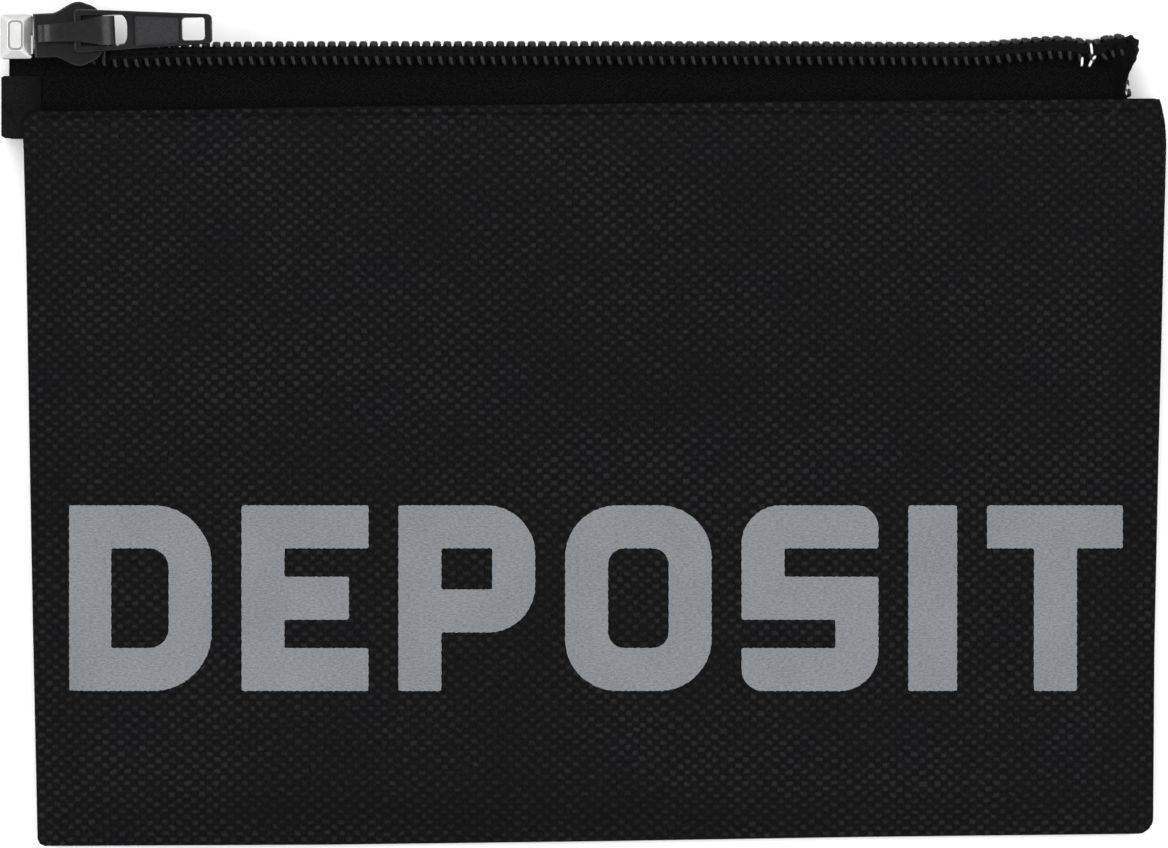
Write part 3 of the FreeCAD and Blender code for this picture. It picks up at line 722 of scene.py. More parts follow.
def pull_plate(shader, place):
    """1 on the sunk panel of the pull tab and 0 elsewhere, from the tab's own directions."""
    low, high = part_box("pull_tab")
    offset = shader.vector("SUBTRACT", place, tuple((low + high) / 2))
    sine, cosine = math.sin(PLATE_YAW), math.cos(PLATE_YAW)
    along = shader.vector("DOT_PRODUCT", offset, (cosine, sine, 0), output=1)
    across = shader.vector("DOT_PRODUCT", offset, (-sine, cosine, 0), output=1)
    from_centre = abs(along - PLATE_CENTRE * MM)
    inside = from_centre.spread(PLATE_HALF_LENGTH * MM, (PLATE_HALF_LENGTH - 0.15) * MM)
    half_width = along.times_plus(PLATE_TAPER, PLATE_HALF_WIDTH * MM)
    return inside * (abs(across) - half_width).spread(0.0, -0.12 * MM)


# The darker grey of each cloth is the painted shade between its yarns, the lighter one the painted highlight
# on their crowns.
PANEL = woven_material("panel_fabric", WEAVE, grey(0.0020), grey(0.0128, 0.02), 0.14)
COATING = coating_material()
TAPE_CLOTH = woven_material(
    "zip_tape", TAPE_WEAVE, grey(0.0005), grey(0.0038, 0.02), 0.04, 0.6, 0.85
)
NYLON = nylon_material()
CORD_YARN = thread_material("filler_cord", grey(0.0015), grey(0.004), 1, 0.5, 0.05)
THREAD = thread_material("sewing_thread", grey(0.0005), grey(0.0026, 0.03), 2, 0.42, 0.03)
FILM = film_material()
NICKEL = nickel_material()
LACQUER = lacquer_material("black_lacquer")
PULL_LACQUER = lacquer_material("pull_lacquer", pull_plate)
SILVER = print_material()


# ---- Panels ----
def spaced(length, fine_start, fine_end):
    """Places from 0 to length, closer together over the first and last few millimetres, but
    with room at either end for the edge to roll over."""
    start = np.concatenate([[0.0], np.arange(ROLL_ROOM, fine_start, 0.45)])
    end = length - np.concatenate([[0.0], np.arange(ROLL_ROOM, fine_end, 0.45)])[::-1]
    count = int(round((end[0] - start[-1]) / CELL))
    return np.concatenate([start, np.linspace(start[-1], end[0], count + 1)[1:-1], end])


def round_corner(a, b, radius):
    """Moves a place a and b away from the two sides of a corner so that the corner is round."""
    u, v = np.clip(1 - a / radius, 0, 1), np.clip(1 - b / radius, 0, 1)
    near = (u > 0) & (v > 0)
    new_a = np.where(near, radius * (1 - u * np.sqrt(1 - v * v / 2)), a)
    new_b = np.where(near, radius * (1 - v * np.sqrt(1 - u * u / 2)), b)
    return new_a, new_b


PANEL_SPAN = (174.0, 114.0)  # rough size of a panel, which sets the number of its quads
FINE_COLUMNS = (5.0, 5.0)  # width of the finer quads along the sides
FINE_ROWS = (4.0, 5.5)  # and along the bottom seam and the hem


def panel_plan():
    """Grid of places that fills the panel's outline, row by row from the bottom seam upwards.
    X and Y of an edge depend on each other, so a few rounds bring them together."""
    s, t = np.meshgrid(
        spaced(PANEL_SPAN[0], *FINE_COLUMNS) / PANEL_SPAN[0],
        spaced(PANEL_SPAN[1], *FINE_ROWS) / PANEL_SPAN[1],
    )
    x, y = -85.0 + 173.5 * s, np.zeros_like(t)
    for _ in range(4):
        bottom, top = panel_edges(x, y)[2:]
        y = bottom * (1 - t) + top * t
        left, right = panel_edges(x, y)[:2]
        x = left * (1 - s) + right * s
    left, right, bottom, top = panel_edges(x, y)
    for name, radius in CORNER_RADII.items():
        a = x - left if "left" in name else right - x
        b = y - bottom if "bottom" in name else top - y
        a, b = round_corner(a, b, radius)
        x = left + a if "left" in name else right - a
        y = bottom + b if "bottom" in name else top - b
    return x, y


# Where the panel's edges would meet without their rounding.
PANEL_CORNERS = np.array([(-86.4, 48.2), (-84.3, -65.1), (87.8, -63.2), (89.75, 50.0)])


def panel_mesh(name, face_of, facing):
    """A panel with its edges rolled over and turned in, to meet the other panel at the seams and
    to lie under the hem. face_of is its outer face, and facing 1 for the front, -1 for the back."""
    x, y = panel_plan()
    rim = grid_rim(*x.shape)
    edge = np.stack([x.ravel()[rim], y.ravel()[rim]], -1)
    outward = outward_of(edge)
    at_hem = ramp(edge[:, 1], *HEM_CHANGE_Y)
    bulge = ROLL[0] * (1 - at_hem) + ROLL[1] * at_hem
    inner = edge - outward * bulge[:, None]
    flat = np.stack([x.ravel(), y.ravel()], -1)
    flat[rim] = inner
    layers = [np.column_stack([flat, face_of(*flat.T)])]
    places = [flat]
    start_z = layers[0][rim, 2]
    under_hem = ramp(inner[:, 1], *HEM_CHANGE_Y)
    end_z = (SEAM_Z + facing * SEAM_GAP) * (1 - under_hem)
    end_z = end_z + (start_z - facing * HEM_DEPTH) * under_hem
    half = (start_z - end_z) / 2
    for step in range(1, ROLL_STEPS + 1):
        turn = math.pi * step / ROLL_STEPS
        ring = inner + outward * (bulge * math.sin(turn))[:, None]
        layers.append(np.column_stack([ring, start_z - half * (1 - math.cos(turn))]))
        length = step / ROLL_STEPS * (2 * np.abs(half) + bulge)
        places.append(inner + outward * length[:, None])
    from_corner = np.min(np.linalg.norm(edge[:, None] - PANEL_CORNERS, axis=2), axis=1)
    turned_in = ALLOWANCE[0] * (1 - at_hem) + ALLOWANCE[1] * at_hem - ALLOWANCE_AT_CORNER
    turned_in = ALLOWANCE_AT_CORNER + turned_in * ramp(from_corner, 4.0, 12.0)
    for step in range(1, ALLOWANCE_STEPS + 1):
        reach = turned_in * step / ALLOWANCE_STEPS
        layers.append(np.column_stack([inner - outward * reach[:, None], end_z]))
        places.append(inner + outward * (2 * np.abs(half) + bulge + reach)[:, None])
    faces = grid_faces(*x.shape)
    previous = rim
    for layer in range(ROLL_STEPS + ALLOWANCE_STEPS):
        current = x.size + layer * len(rim) + np.arange(len(rim))
        sides = np.stack([previous, current, np.roll(current, -1), np.roll(previous, -1)], -1)
        faces += [tuple(face) for face in sides.tolist()]
        previous = current
    faces = [face[::facing] for face in faces]
    corners = corners_of(faces, np.concatenate(places))
    piece = make_piece(name, np.concatenate(layers), faces, PANEL, corners, 0)
    piece.data.materials.append(COATING)
    adjust(thicken(piece, CLOTH, -1), material_offset=1, material_offset_rim=0)
    return piece


def back_bottom(x, y):
    """Outer face of the back panel: flat on the table, hollowing up a little here and there."""
    left, right, bottom, top = panel_edges(x, y)
    from_seam = np.minimum(np.minimum(x - left, right - x), y - bottom)
    inside = ramp(from_seam, 1.0, 14.0) * ramp(top - y, 1.0, 14.0)
    return np.maximum(ripples(x + 37.0, y - 12.0), 0.0) * inside * 0.8


front_panel = panel_mesh("front_panel_cloth", front_top, 1)
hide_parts("front_panel")
back_panel = panel_mesh("back_panel_cloth", back_bottom, -1)
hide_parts("back_panel")
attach(back_panel, "bag_back")


# ---- Zip tapes ----
TAPE_EDGE = [
    (TAPE_END_X, 57.9), (-60.0, 57.9), (-30.0, 57.9), (0.0, 57.9), (30.0, 57.9), (58.0, 57.9),
    (66.0, 58.4), (73.4, 58.6), (78.4, 58.2), (81.5, 58.7), (83.8, 58.4), (84.5, 57.0),
    (83.9, 54.8), (82.9, 52.6), (83.6, 50.4),
]
TURN_X = 72.0  # beyond this the edge turns down faster than the hem side
FRONT_SEWN_END, BACK_SEWN_END = 83.6, 80.0
TAPE_STEP = 0.7
TAPE_WIDTH = 14.0
TAPE_ROWS = 16  # rows of quads across the tape, without its rounded edges


def tape_mesh(name, lower_of, sewn_end, corners=None):
    """A strip from its sewn side, hidden under the hem, to its free edge. Its edges are rounded,
    and a raised cord line runs along the selvedge. lower_of is its lower face, and corners
    is how many points of TAPE_EDGE it has, if not all of them."""
    edge = smooth_path(TAPE_EDGE[:corners], TAPE_STEP)
    along = distance_along(edge)
    turned = np.argmax(edge[:, 0] > TURN_X)
    sewn = np.stack([edge[:, 0], np.full(len(edge), TAPE_HEM_Y)], -1)
    share = (along[turned:] - along[turned]) / (along[-1] - along[turned])
    sewn[turned:, 0] = edge[turned, 0] + (sewn_end - edge[turned, 0]) * share
    half = TAPE / 2
    shares = np.concatenate([[0.0, 0.02], np.linspace(0.06, 0.94, TAPE_ROWS), [0.98, 1.0]])
    rises = half * np.array([0.35, 0.8] + [1.0] * TAPE_ROWS + [0.8, 0.35])
    section = [*zip(shares, rises), *zip(shares[::-1], -rises[::-1])]
    points = []
    places = []
    for k in range(len(edge)):
        for share, rise in section:
            x, y = sewn[k] + (edge[k] - sewn[k]) * share
            selvedge = 0.05 * math.exp(-(((share - 0.72) / 0.02) ** 2)) if rise > 0 else 0.0
            slack = 0.04 * math.sin(x / 3.1) * math.sin(x / 7.7 + y / 2.0)
            points.append((x, y, lower_of(x, y) + half + rise + selvedge + slack))
            places.append((along[k], TAPE_WIDTH * share))
    faces = [face[::-1] for face in tube_faces(len(edge), len(section))]
    piece = make_piece(name, points, faces, TAPE_CLOTH, corners_of(faces, places), 50)
    face_outwards(piece)
    return piece


front_tape = tape_mesh("front_zip_tape", front_tape_z, FRONT_SEWN_END)
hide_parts("front_tape")
back_tape = tape_mesh("back_zip_tape", back_tape_z, BACK_SEWN_END, -2)
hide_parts("back_tape")
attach(back_tape, "bag_back")

FILM_THICKNESS = 0.14
FILM_CORNER = 0.6
FILM_ROWS = 12
FILM_COLUMNS = 15


def film_mesh(name, lower_of):
    """A film folded round the end of a tape: over the top, round its end and back underneath."""
    (left, right), (low_y, high_y) = FILM_X, FILM_Y
    gap = TAPE / 2 + 0.06
    nose = left + gap + 0.1
    rows = [(x, gap) for x in np.linspace(right, nose, FILM_ROWS)]
    for turn in np.linspace(0, math.pi, 9)[1:-1]:
        rows.append((nose - gap * math.sin(turn), gap * math.cos(turn)))
    rows += [(x, -gap) for x in np.linspace(nose, right, FILM_ROWS)]
    points = []
    for x, rise in rows:
        into_corner = max(FILM_CORNER - (x - left), 0)
        inset = FILM_CORNER - math.sqrt(max(FILM_CORNER**2 - into_corner**2, 0.0))
        for y in np.linspace(low_y + inset, high_y - inset, FILM_COLUMNS):
            points.append((x, y, lower_of(x, y) + TAPE / 2 + rise))
    piece = make_piece(name, points, grid_faces(len(rows), FILM_COLUMNS), FILM)
    thicken(piece, FILM_THICKNESS, 1)
    adjust(piece.modifiers.new("softened", "BEVEL"), width=0.04 * MM, segments=2)
    return piece


front_film = film_mesh("front_film_sleeve", front_tape_z)
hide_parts("front_end_film")
back_film = film_mesh("back_film_sleeve", back_tape_z)
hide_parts("back_end_film")
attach(back_film, "bag_back")


# ---- Coils, their cords and their stitching ----
# Middle line of each coil in plan. Both swell out a little before their stops.
COIL_END = [(66.0, 57.35), (73.2, 57.8), (78.2, 57.2), (81.0, 58.0), (83.2, 58.15)]
FRONT_COIL = [
    (-79.6, 58.0), (-77.5, 57.6), (-75.0, 57.0), (-72.0, 56.55), (-68.0, 56.6), (-60.0, 56.8),
    (-30.0, 56.8), (0.0, 56.8), (30.0, 56.8), (58.0, 56.85), *COIL_END,
]
BACK_COIL = [
    (-78.0, 56.3), (-50.0, 56.35), (-20.0, 56.4), (0.0, 56.45), (16.0, 56.8), (36.0, 56.8),
    (58.0, 56.85), *COIL_END,
]
BACK_COIL_TAIL = [(82.0, 54.0), (82.3, 52.0), (82.7, 50.0), (82.9, 48.4)]
STEPS = 22  # points along one turn of the filament
CORD_STEP = 0.4
CORD_TWIST = 2.4  # length in which a strand goes once round
CORD_OFFSET = -0.15  # the cord lies nearer the sewn side
THREAD_OFFSETS = (-0.05, 0.72)
THREAD_STEPS = 8  # points along one turn of the coil


def upright(flat):
    """The vectors of a plan with a Z of 0."""
    return np.column_stack([flat, np.zeros(len(flat))])


def coil_frame(line, spacing):
    """Places along a coil's middle line, with its direction and the direction of its heads."""
    path = smooth_path(line, spacing)
    tangent = unit(np.gradient(path, axis=0))
    return path, tangent, np.stack([-tangent[:, 1], tangent[:, 0]], -1)


def squared(wave):
    """A wave with flatter crests."""
    return np.sign(wave) * np.abs(wave) ** 0.7


def coil_mesh(name, lines, base_of, sign, head_x):
    """A filament wound in a flattened helix along each line, with a widened head on every turn.
    sign is 1 for a coil on top of its tape and -1 for one under it, seen from its back. One
    head lies at head_x, so that two coils' heads can be set half a turn apart."""
    tube = Tubes()
    for line in lines:
        path, tangent, heads = coil_frame(line, PITCH / STEPS)
        first = int(np.argmin(np.abs(path[:, 0] - head_x)))
        turn = sign * 2 * math.pi * (np.arange(len(path)) - first) / STEPS
        reach = COIL_HALF_WIDTH * squared(np.cos(turn))
        rise = (COIL_HEIGHT / 2 - FILAMENT) * squared(np.sin(turn))
        at_head = ramp(np.cos(turn), 0.35, 0.85)
        height = base_of(*path.T) + COIL_HEIGHT / 2 + rise
        points = np.column_stack([path + heads * reach[:, None], height])
        wide, thick = [FILAMENT + swell * at_head for swell in HEAD_SWELL]
        tube.add(points, wide, thick, upright(tangent), sides=10, power=1 - 0.45 * at_head)
    return tube.piece(name, NYLON)


def cord_mesh(name, line, base_of):
    """Three strands twisted together, which fill the coil's inside."""
    path, _, heads = coil_frame(line, CORD_STEP)
    strands = Tubes()
    for strand in range(3):
        turn = 2 * math.pi * (np.arange(len(path)) * CORD_STEP / CORD_TWIST + strand / 3)
        flat = path + heads * (CORD_OFFSET + 0.42 * np.cos(turn))[:, None]
        height = base_of(*path.T) + COIL_HEIGHT / 2 + 0.12 * np.sin(turn)
        strands.add(np.column_stack([flat, height]), 0.34, 0.26, upright(heads), sides=7)
    return strands.piece(name, CORD_YARN)


def chain_stitch(name, line, z_of, head_x, first, last):
    """Two rows of thread that bind the coil to its tape, over every leg and down between them."""
    path, _, heads = coil_frame(line, PITCH / THREAD_STEPS)
    head = int(np.argmin(np.abs(path[:, 0] - head_x)))
    leg = 2 * math.pi * ((np.arange(len(path)) - head) / THREAD_STEPS - 0.25)
    chosen = (path[:, 0] > first) & (path[:, 0] < last) & (path[:, 1] > 56.0)
    rows = Tubes()
    for offset in THREAD_OFFSETS:
        flat = path + heads * (offset + 0.05 * np.cos(leg / 2))[:, None]
        points = np.column_stack([flat, z_of(*path.T) - 0.08 * (1 - np.cos(leg))])
        width = 0.38 + 0.06 * np.cos(leg)
        rows.add(points[chosen], 0.10, width[chosen], (0, 0, 1), sides=8, power=0.8)
    return rows.piece(name, THREAD)


front_base = raised(front_tape_z, TAPE)
front_coil_top = raised(front_base, COIL_HEIGHT)
back_tape_top = raised(back_tape_z, TAPE)

front_coil = coil_mesh("front_coil_filament", [FRONT_COIL], front_base, 1, 0.0)
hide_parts("front_coil")
front_cord = cord_mesh("front_cord_strands", FRONT_COIL, front_base)
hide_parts("front_coil_cord")
front_thread = chain_stitch("front_chain_stitch", FRONT_COIL, front_coil_top, 0.0, -73.0, 83.2)
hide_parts("front_coil_thread")

back_coil = coil_mesh("back_coil_filament", [BACK_COIL, BACK_COIL_TAIL], table, -1, PITCH / 2)
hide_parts("back_coil")
back_cord = cord_mesh("back_cord_strands", BACK_COIL, table)
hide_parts("back_coil_cord")
back_thread = chain_stitch(
    "back_chain_stitch", BACK_COIL, back_tape_top, PITCH / 2, -77.0, 79.0
)
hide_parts("back_coil_thread")
for piece in (back_coil, back_cord, back_thread):
    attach(piece, "bag_back")


# ---- Top stops ----
def stop_mesh(name, prongs):
    """A stop stamped from flat wire: each prong is clinched down at both of its ends."""
    wire = Tubes()
    for path in prongs:
        fine = smooth_path(path, 0.1)
        from_end = np.minimum(np.arange(len(fine)), np.arange(len(fine))[::-1]) / 3.0
        size = np.sqrt(np.clip(from_end, 0.12, 1.0))
        wire.add(fine, 0.23 * size, 0.2 * size, (1, 0, 0), sides=12)
    return wire.piece(name, NICKEL)


def prong(start, end, top):
    """A short bridge from start to end that dives into what it is pressed on."""
    start, end = np.array(start), np.array(end)
    profile = [(0, -0.6), (0.15, -0.05), (0.5, 0), (0.85, -0.05), (1, -0.6)]
    return [(*(start + (end - start) * share), top + rise) for share, rise in profile]


FOLD_OUTER = [
    (81.3, 58.2), (82.6, 59.3), (83.9, 59.8), (84.9, 59.5), (85.4, 58.6), (85.3, 57.2),
    (84.9, 55.9), (84.2, 54.6), (83.7, 53.2), (83.3, 51.6), (83.6, 48.6),
]
FOLD_INNER = [
    (80.6, 56.2), (80.2, 55.4), (80.3, 54.6), (80.7, 53.6), (81.1, 52.4), (81.5, 51.2),
    (81.7, 50.2), (81.9, 48.6),
]
FOLD_STEP = 0.4
FOLD_COLUMNS = 15
FRONT_COIL_CROWN = FRONT_TAPE_Z + TAPE + COIL_HEIGHT


def tape_end_fold():
    """The front tape's end, folded over the coil where it turns down into the corner."""
    outer, inner = smooth_path(FOLD_OUTER, FOLD_STEP), smooth_path(FOLD_INNER, FOLD_STEP)
    shares = np.linspace(0, 1, len(outer))
    steps = np.linspace(0, 1, len(inner))
    inner = np.stack([np.interp(shares, steps, column) for column in inner.T], -1)
    low = FRONT_TAPE_Z + TAPE
    points = []
    places = []
    for k, share in enumerate(shares):
        height = (FRONT_COIL_CROWN + 0.1 - low) * (1 - 0.9 * ramp(share, 0.45, 0.95))
        lump = math.sin(2 * math.pi * k * FOLD_STEP / 1.5)
        for across in np.linspace(0, 1, FOLD_COLUMNS):
            x, y = inner[k] + (outer[k] - inner[k]) * across * (1 + 0.03 * lump)
            hump = ramp(across, 0.0, 0.7) * (1 - 0.8 * ramp(across, 0.84, 1.0))
            crease = 0.12 * math.sin(share * 17 + across * 3.0) + 0.13 * lump
            points.append((x, y, low + (height + crease) * hump))
            places.append((share * 16.0, across * 5.0))
    faces = [face[::-1] for face in grid_faces(len(shares), FOLD_COLUMNS)]
    piece = make_piece("front_tape_fold", points, faces, TAPE_CLOTH, corners_of(faces, places), 0)
    thicken(piece, 0.3, -1)
    return piece


front_fold = tape_end_fold()

FRONT_STOP = FRONT_COIL_CROWN + 0.12
BACK_STOP = COIL_HEIGHT + TAPE + 0.1
front_stop = stop_mesh(
    "front_stop_staple",
    [
        prong((76.5, 55.0), (76.6, 56.4), FRONT_STOP),
        prong((77.65, 54.95), (78.05, 55.9), FRONT_STOP),
        prong((78.25, 56.05), (78.6, 56.55), FRONT_STOP),
        prong((78.1, 56.8), (77.9, 58.5), FRONT_STOP + 0.05),
    ],
)
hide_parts("front_top_stop")
back_stop = stop_mesh(
    "back_stop_staple",
    [
        prong((83.45, 50.6), (83.55, 51.3), BACK_STOP),
        prong((83.6, 51.5), (83.75, 52.3), BACK_STOP),
    ],
)
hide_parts("back_top_stop")
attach(back_stop, "bag_back")


# ---- Retainer box ----
def rounded_ring(left, right, bottom, top, radius, z, count=6):
    """Points round a rectangle with rounded corners, anticlockwise."""
    centres = [(right, top, 0), (left, top, 1), (left, bottom, 2), (right, bottom, 3)]
    ring = []
    for x, y, quarter in centres:
        x += radius if quarter in (1, 2) else -radius
        y += radius if quarter in (2, 3) else -radius
        for step in range(count + 1):
            turn = math.pi / 2 * (quarter + step / count)
            ring.append((x + radius * math.cos(turn), y + radius * math.sin(turn), z))
    return ring


def loft_mesh(name, rings):
    """A closed metal solid through rings of points, the first one at the bottom."""
    faces = tube_faces(len(rings), len(rings[0]))
    piece = make_piece(name, np.concatenate(rings), faces, NICKEL, None, 30)
    face_outwards(piece)
    return piece


# The box from its foot to its window: how far each ring lies in from the walls, its corner
# radius and its height. The walls' rings are measured from the floor, or from the shoulder where
# the bevels start, and the window's rings from the plateau and the crown.
FOOT = [(0.15, 0.3, 0.0), (0.0, 0.4, 0.15)]
SHOULDER = [(0.0, 0.4, -0.1), (0.1, 0.4, 0.02)]
SHOULDER_DROP = 0.95
PLATEAU_INSET = (1.15, 1.2, 1.15, 0.85)
WINDOW = [
    (-0.08, -0.10), (0.0, -0.02), (0.08, 0.0), (0.12, 0.0), (0.21, -0.2), (0.31, -0.2),
    (0.40, 0.0), (0.55, -0.01),
]


def retainer_box():
    """Pressed metal box: upright walls, four wide bevels, and a flat top with a scored window."""
    (left, bottom, floor), (right, top, crown) = [
        Vector(corner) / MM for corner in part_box("retainer_box")
    ]
    rings = [
        rounded_ring(left + inset, right - inset, bottom + inset, top - inset, radius, start + rise)
        for start, sizes in ((floor, FOOT), (crown - SHOULDER_DROP, SHOULDER))
        for inset, radius, rise in sizes
    ]
    for inset, rise in WINDOW:
        a, b, c, d = [inset + size for size in PLATEAU_INSET]
        window = (left + a, right - b, bottom + c, top - d)
        rings.append(rounded_ring(*window, 0.75 - inset * 0.6, crown + rise))
    box = loft_mesh("retainer_box_shell", rings)
    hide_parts("retainer_box")
    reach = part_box("slider_body")[0].x / MM - 0.06
    lip_rings = [
        rounded_ring(right - 0.2, reach, bottom + 0.7, bottom + 3.5, 0.1, crown - drop)
        for drop in (2.2, 0.9)
    ]
    lip = loft_mesh("retainer_box_lip", lip_rings)
    for piece in (box, lip):
        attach(piece, "bag_back")


retainer_box()


# ---- Metal nodes that keep their CAD shape ----
def dress(node, material, bevel=0.0):
    """Gives a CAD node its material, and softens its edges."""
    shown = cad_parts[node]
    shown.data.materials.clear()
    shown.data.materials.append(material)
    shown.data.polygons.foreach_set("use_smooth", [True] * len(shown.data.polygons))
    shown.data.set_sharp_from_angle(angle=math.radians(30))
    if bevel:
        adjust(
            shown.modifiers.new("softened", "BEVEL"), width=bevel * MM, segments=3,
            limit_method="ANGLE", angle_limit=math.radians(40), harden_normals=True,
        )


dress("slider_body", LACQUER, 0.14)
dress("pull_tab", PULL_LACQUER, 0.08)
dress("retainer_pin", NICKEL)
dress("insertion_pin", NICKEL)


# ---- Stitches ----
def stitch_row(name, path, z_of, radius, sink):
    """Separate stitches of two-ply thread along a path, each diving into the cloth at its ends."""
    row = Tubes()
    share = np.linspace(0, 1, 19)
    dive = sink * np.abs(2 * share - 1) ** 4
    for start, end in zip(path, path[1:]):
        run = math.dist(start, end)
        count = int(run // STITCH_PITCH)
        way = (np.array(end) - np.array(start)) / run
        side = np.array([-way[1], way[0]])
        for index in range(count):
            begin = index * STITCH_PITCH + (run - count * STITCH_PITCH) / 2
            flat = np.array(start) + way * (begin + STITCH_LENGTH * share)[:, None]
            height = z_of(*flat.T) - dive
            for ply in (0, 1):
                turn = 2 * math.pi * STITCH_LENGTH * share / 1.05 + math.pi * ply + index
                swing, lift = 0.42 * radius * np.cos(turn), 0.42 * radius * np.sin(turn)
                points = np.column_stack([flat + side * swing[:, None], height + lift])
                row.add(points, 0.62 * radius, 0.62 * radius, (0, 0, 1), sides=7)
    return row.piece(name, THREAD)


STITCH_RISE = 0.12  # of the thread's middle above the cloth
topstitch = stitch_row(
    "front_hem_stitches", TOPSTITCH, raised(front_top, STITCH_RISE), 0.17, 0.3
)
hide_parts("front_topstitch")
back_stitches = stitch_row(
    "back_hem_stitches", BACK_STITCH, raised(back_tape_top, STITCH_RISE), 0.16, 0.3
)
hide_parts("back_topstitch")
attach(back_stitches, "bag_back")
SEAMS = {
    "left": [(-84.3, 42.5), (-83.8, -21.0), (-82.8, -60.5)],
    "bottom": [(-81.5, -63.2), (0.0, -62.8), (84.5, -61.7)],
    "right": [(86.2, -58.5), (86.6, -21.0), (87.9, 42.5)],
}
for side, path in SEAMS.items():
    stitches = stitch_row(f"{side}_seam_stitches", path, raised(table, SEAM_Z), 0.12, 0.0)
    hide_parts(f"{side}_seam_thread")
    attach(stitches, "bag_back")


# ---- Print ----
def plain(*places):
    return [(x, y, 0) for x, y in places]


def rectangle(left, bottom, right, top, radii=(0, 0, 0, 0)):
    """Corners with their radii, from the lower left anticlockwise."""
    return [
        (left, bottom, radii[0]), (right, bottom, radii[1]), (right, top, radii[2]),
        (left, top, radii[3]),
    ]


def letters():
    """Each letter's width and its closed outlines, the first outside and the rest holes."""
    h, s = LETTER_HEIGHT, STROKE
    m = (h - s) / 2
    stem = (21 - s) / 2
    d = [rectangle(0, 0, 22, h, (0, 9, 9, 0)), rectangle(s, s, 22 - s, h - s, (0, 3, 3, 0))]
    e = plain(
        (0, 0), (19.5, 0), (19.5, s), (s, s), (s, m), (16.5, m), (16.5, m + s), (s, m + s),
        (s, h - s), (19.5, h - s), (19.5, h), (0, h),
    )
    p = [
        [(0, 0, 0), (s, 0, 0), (s, 9, 0), (21, 9, 7.5), (21, h, 7.5), (0, h, 0)],
        rectangle(s, 9 + s, 21 - s, h - s),
    ]
    o = [rectangle(0, 0, 22.5, h, (8,) * 4), rectangle(s, s, 22.5 - s, h - s, (2.5,) * 4)]
    s_curve = [
        (0, 0, 6), (21, 0, 6), (21, m + s, 0), (s, m + s, 0), (s, h - s, 0), (21, h - s, 0),
        (21, h, 6), (0, h, 6), (0, m, 0), (21 - s, m, 0), (21 - s, s, 0), (0, s, 0),
    ]
    i = rectangle(0, 0, 7.5, h)
    t = plain(
        (stem, 0), (stem + s, 0), (stem + s, h - s), (21, h - s), (21, h), (0, h), (0, h - s),
        (stem, h - s),
    )
    return zip((22.0, 19.5, 21.0, 22.5, 21.0, 7.5, 21.0), (d, [e], p, o, [s_curve], [i], [t]))


OUTLINE_STEP = 0.28
SMALLEST_CORNER = 0.25


def outline_points(corners):
    """A closed line through the corners with each one rounded, a short step apart."""
    line = []
    for k, (x, y, radius) in enumerate(corners):
        here = np.array([x, y])
        before, after = [np.array(corners[n % len(corners)][:2]) for n in (k - 1, k + 1)]
        arriving, leaving = unit(before - here), unit(after - here)
        room = min(math.dist(before, here), math.dist(after, here)) / 2
        radius = min(max(radius, SMALLEST_CORNER), max(room, SMALLEST_CORNER))
        centre = here + (arriving + leaving) * radius
        for turn in np.linspace(0, math.pi / 2, max(4, int(radius * math.pi / 2 / 0.3)) + 1):
            line.append(centre - radius * (leaving * math.cos(turn) + arriving * math.sin(turn)))
    closed = np.array(line + [line[0]])
    length = distance_along(closed)[-1]
    return resampled(closed, np.linspace(0, length, int(length / OUTLINE_STEP) + 1)[:-1])


def scalloped(line):
    """The ink's edge follows the yarns: it creeps out over each one and falls short between."""
    x, y = line.T
    yarns = np.cos(3 * math.pi * x / WEAVE[0]) * np.cos(2 * math.pi * y / WEAVE[1])
    creep = 0.045 * yarns + 0.03 * np.sin(5.1 * x + 3.3 * y)
    return line + outward_of(line) * creep[:, None]


INK_CELL = 1.1  # size of the quads that let the ink follow the cloth


def letter_mesh(outlines, left, width):
    """Points and faces of a flat letter cut into small faces. A skirt hangs from its outline to
    Z -1, which tells it from the letter until both are laid on the cloth."""
    letter = bmesh.new()
    for corners in outlines:
        line = scalloped(outline_points(corners) + (left, PRINT_BASE_Y))
        ring = [letter.verts.new((x, y, 0)) for x, y in line]
        for a, b in zip(ring, ring[1:] + ring[:1]):
            letter.edges.new((a, b))
    bmesh.ops.triangle_fill(letter, use_beauty=True, use_dissolve=False, edges=letter.edges[:])
    for axis, low, size in ((0, left, width), (1, PRINT_BASE_Y, LETTER_HEIGHT)):
        for step in range(1, int(size / INK_CELL) + 1):
            point, normal = Vector((0, 0, 0)), Vector((0, 0, 0))
            point[axis] = low + step * INK_CELL
            normal[axis] = 1.0
            every = letter.verts[:] + letter.edges[:] + letter.faces[:]
            bmesh.ops.bisect_plane(letter, geom=every, plane_co=point, plane_no=normal)
    for face in letter.faces:
        if face.normal.z < 0:
            face.normal_flip()
    rim = [edge for edge in letter.edges if edge.is_boundary]
    for item in bmesh.ops.extrude_edge_only(letter, edges=rim)["geom"]:
        if isinstance(item, bmesh.types.BMVert):
            item.co.z = -1.0
    letter.verts.index_update()
    points = [tuple(vertex.co) for vertex in letter.verts]
    faces = [[vertex.index for vertex in face.verts] for face in letter.faces]
    letter.free()
    return points, faces


def print_mesh():
    """The word DEPOSIT as one thin skin of ink for each letter, lying on the front panel."""
    points = []
    faces = []
    left = PRINT_LEFT_X
    for width, outlines in letters():
        corners, sides = letter_mesh(outlines, left, width)
        faces += [tuple(index + len(points) for index in side) for side in sides]
        points += corners
        left += width + LETTER_GAP
    points = np.array(points)
    lift = np.where(points[:, 2] < -0.5, PRINT_ROOT, PRINT)
    points[:, 2] = front_top(points[:, 0], points[:, 1]) + lift
    piece = make_piece("deposit_print", points, faces, SILVER, corners_of(faces, points[:, :2]), 40)
    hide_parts("front_print")
    return piece


deposit_print = print_mesh()

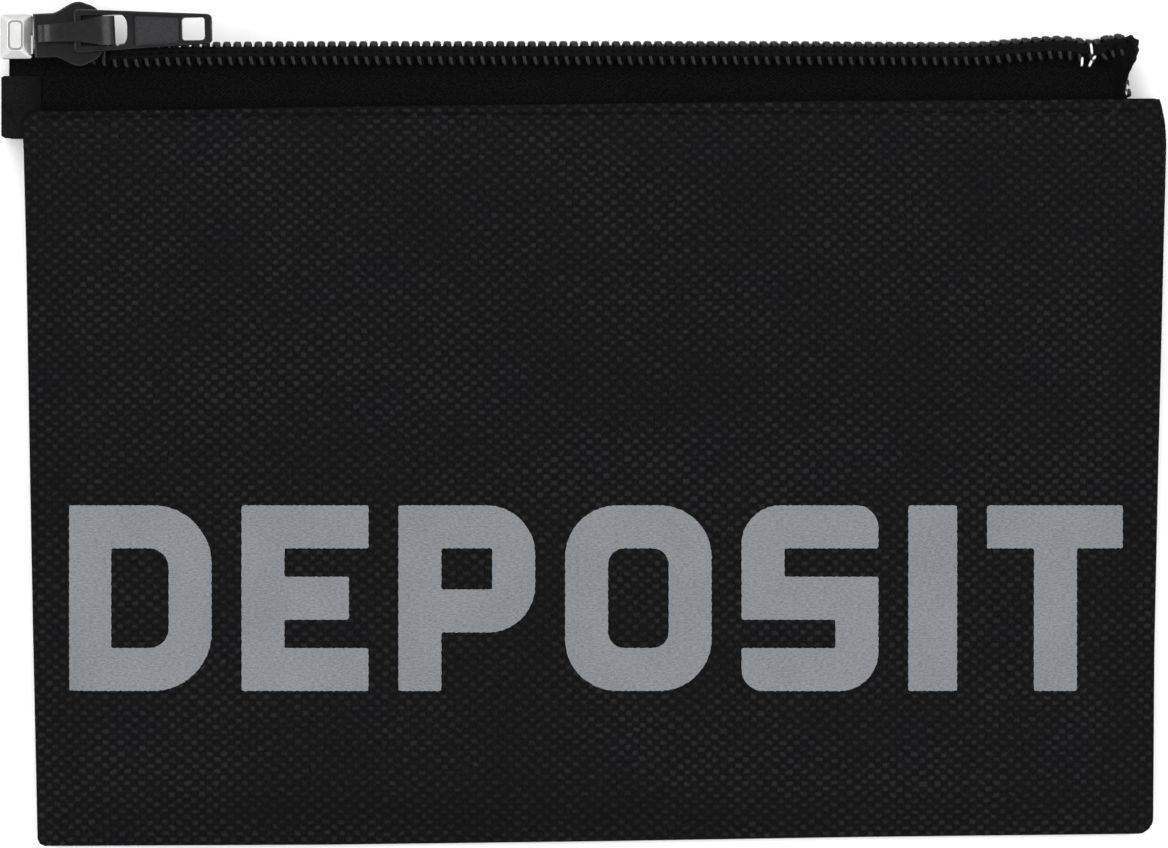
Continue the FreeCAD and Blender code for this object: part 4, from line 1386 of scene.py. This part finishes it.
# ---- The front half lifts as one when the mouth opens ----
front_pieces = [front_panel, front_tape, front_film, front_coil, front_cord, front_thread]
for piece in front_pieces + [front_fold, front_stop, topstitch, deposit_print]:
    open_with_mouth(piece)


# ---- Floor, light and camera ----
FLOOR_SIDE = 2600.0
FLOOR_POINTS = 9


def make_floor():
    """A plain white sheet that runs out of every view."""
    steps = np.linspace(-FLOOR_SIDE / 2, FLOOR_SIDE / 2, FLOOR_POINTS)
    points = [(x, y, -0.05) for y in steps for x in steps]
    shader = Shader("floor_white")
    clouds = shader.noise(shader.object_place(), 6.0, 3.0)
    white = shader.finish(shader.mix(clouds, grey(0.93), grey(0.96)), 0.7, 0.2)
    make_piece("floor", points, grid_faces(FLOOR_POINTS, FLOOR_POINTS), white, None, 0)


def area_light(name, place, size, power):
    """A rectangular light, in metres and watts, that points at the middle of the bag."""
    data = adjust(
        bpy.data.lights.new(name, "AREA"), shape="RECTANGLE", size=size[0], size_y=size[1],
        energy=power,
    )
    adjust(
        add_object(name, data), location=place, rotation_mode="QUATERNION",
        rotation_quaternion=(-Vector(place)).to_track_quat("-Z", "Y"),
    )


def studio_world():
    """Light from all round: bright from the sides, and half as bright from straight overhead."""
    shader = Shader("studio", "worlds", "Background")
    upward = shader.split(shader.node("ShaderNodeTexCoord", output="Generated"))[2]
    scene.world = shader.set(Color=(1, 1, 1, 1), Strength=upward.spread(0.5, 1.0, 1.5, 0.75))


make_floor()
area_light("key_light", (-0.35, 0.95, 0.80), (1.1, 0.5), 4.5)
area_light("fill_light", (0.45, -0.95, 0.75), (0.9, 0.5), 2.5)
area_light("left_strip", (-0.85, 0.1, 0.95), (0.14, 0.7), 3.0)
area_light("right_strip", (0.85, 0.1, 0.95), (0.14, 0.7), 3.0)
studio_world()

# In metres, as Blender takes them.
CAMERA_HEIGHT = 1.2
ZIP_HEIGHT = 0.005
FRAME_WIDTH = 0.17969  # width of the view at the height of the zip
lens_data = bpy.data.cameras.new("camera")
lens_data.sensor_width = 36.0
lens_data.lens = lens_data.sensor_width * (CAMERA_HEIGHT - ZIP_HEIGHT) / FRAME_WIDTH
camera = add_object("camera", lens_data)
camera.location = (0, 0, CAMERA_HEIGHT)
scene.camera = camera
scene.view_settings.view_transform = "Standard"
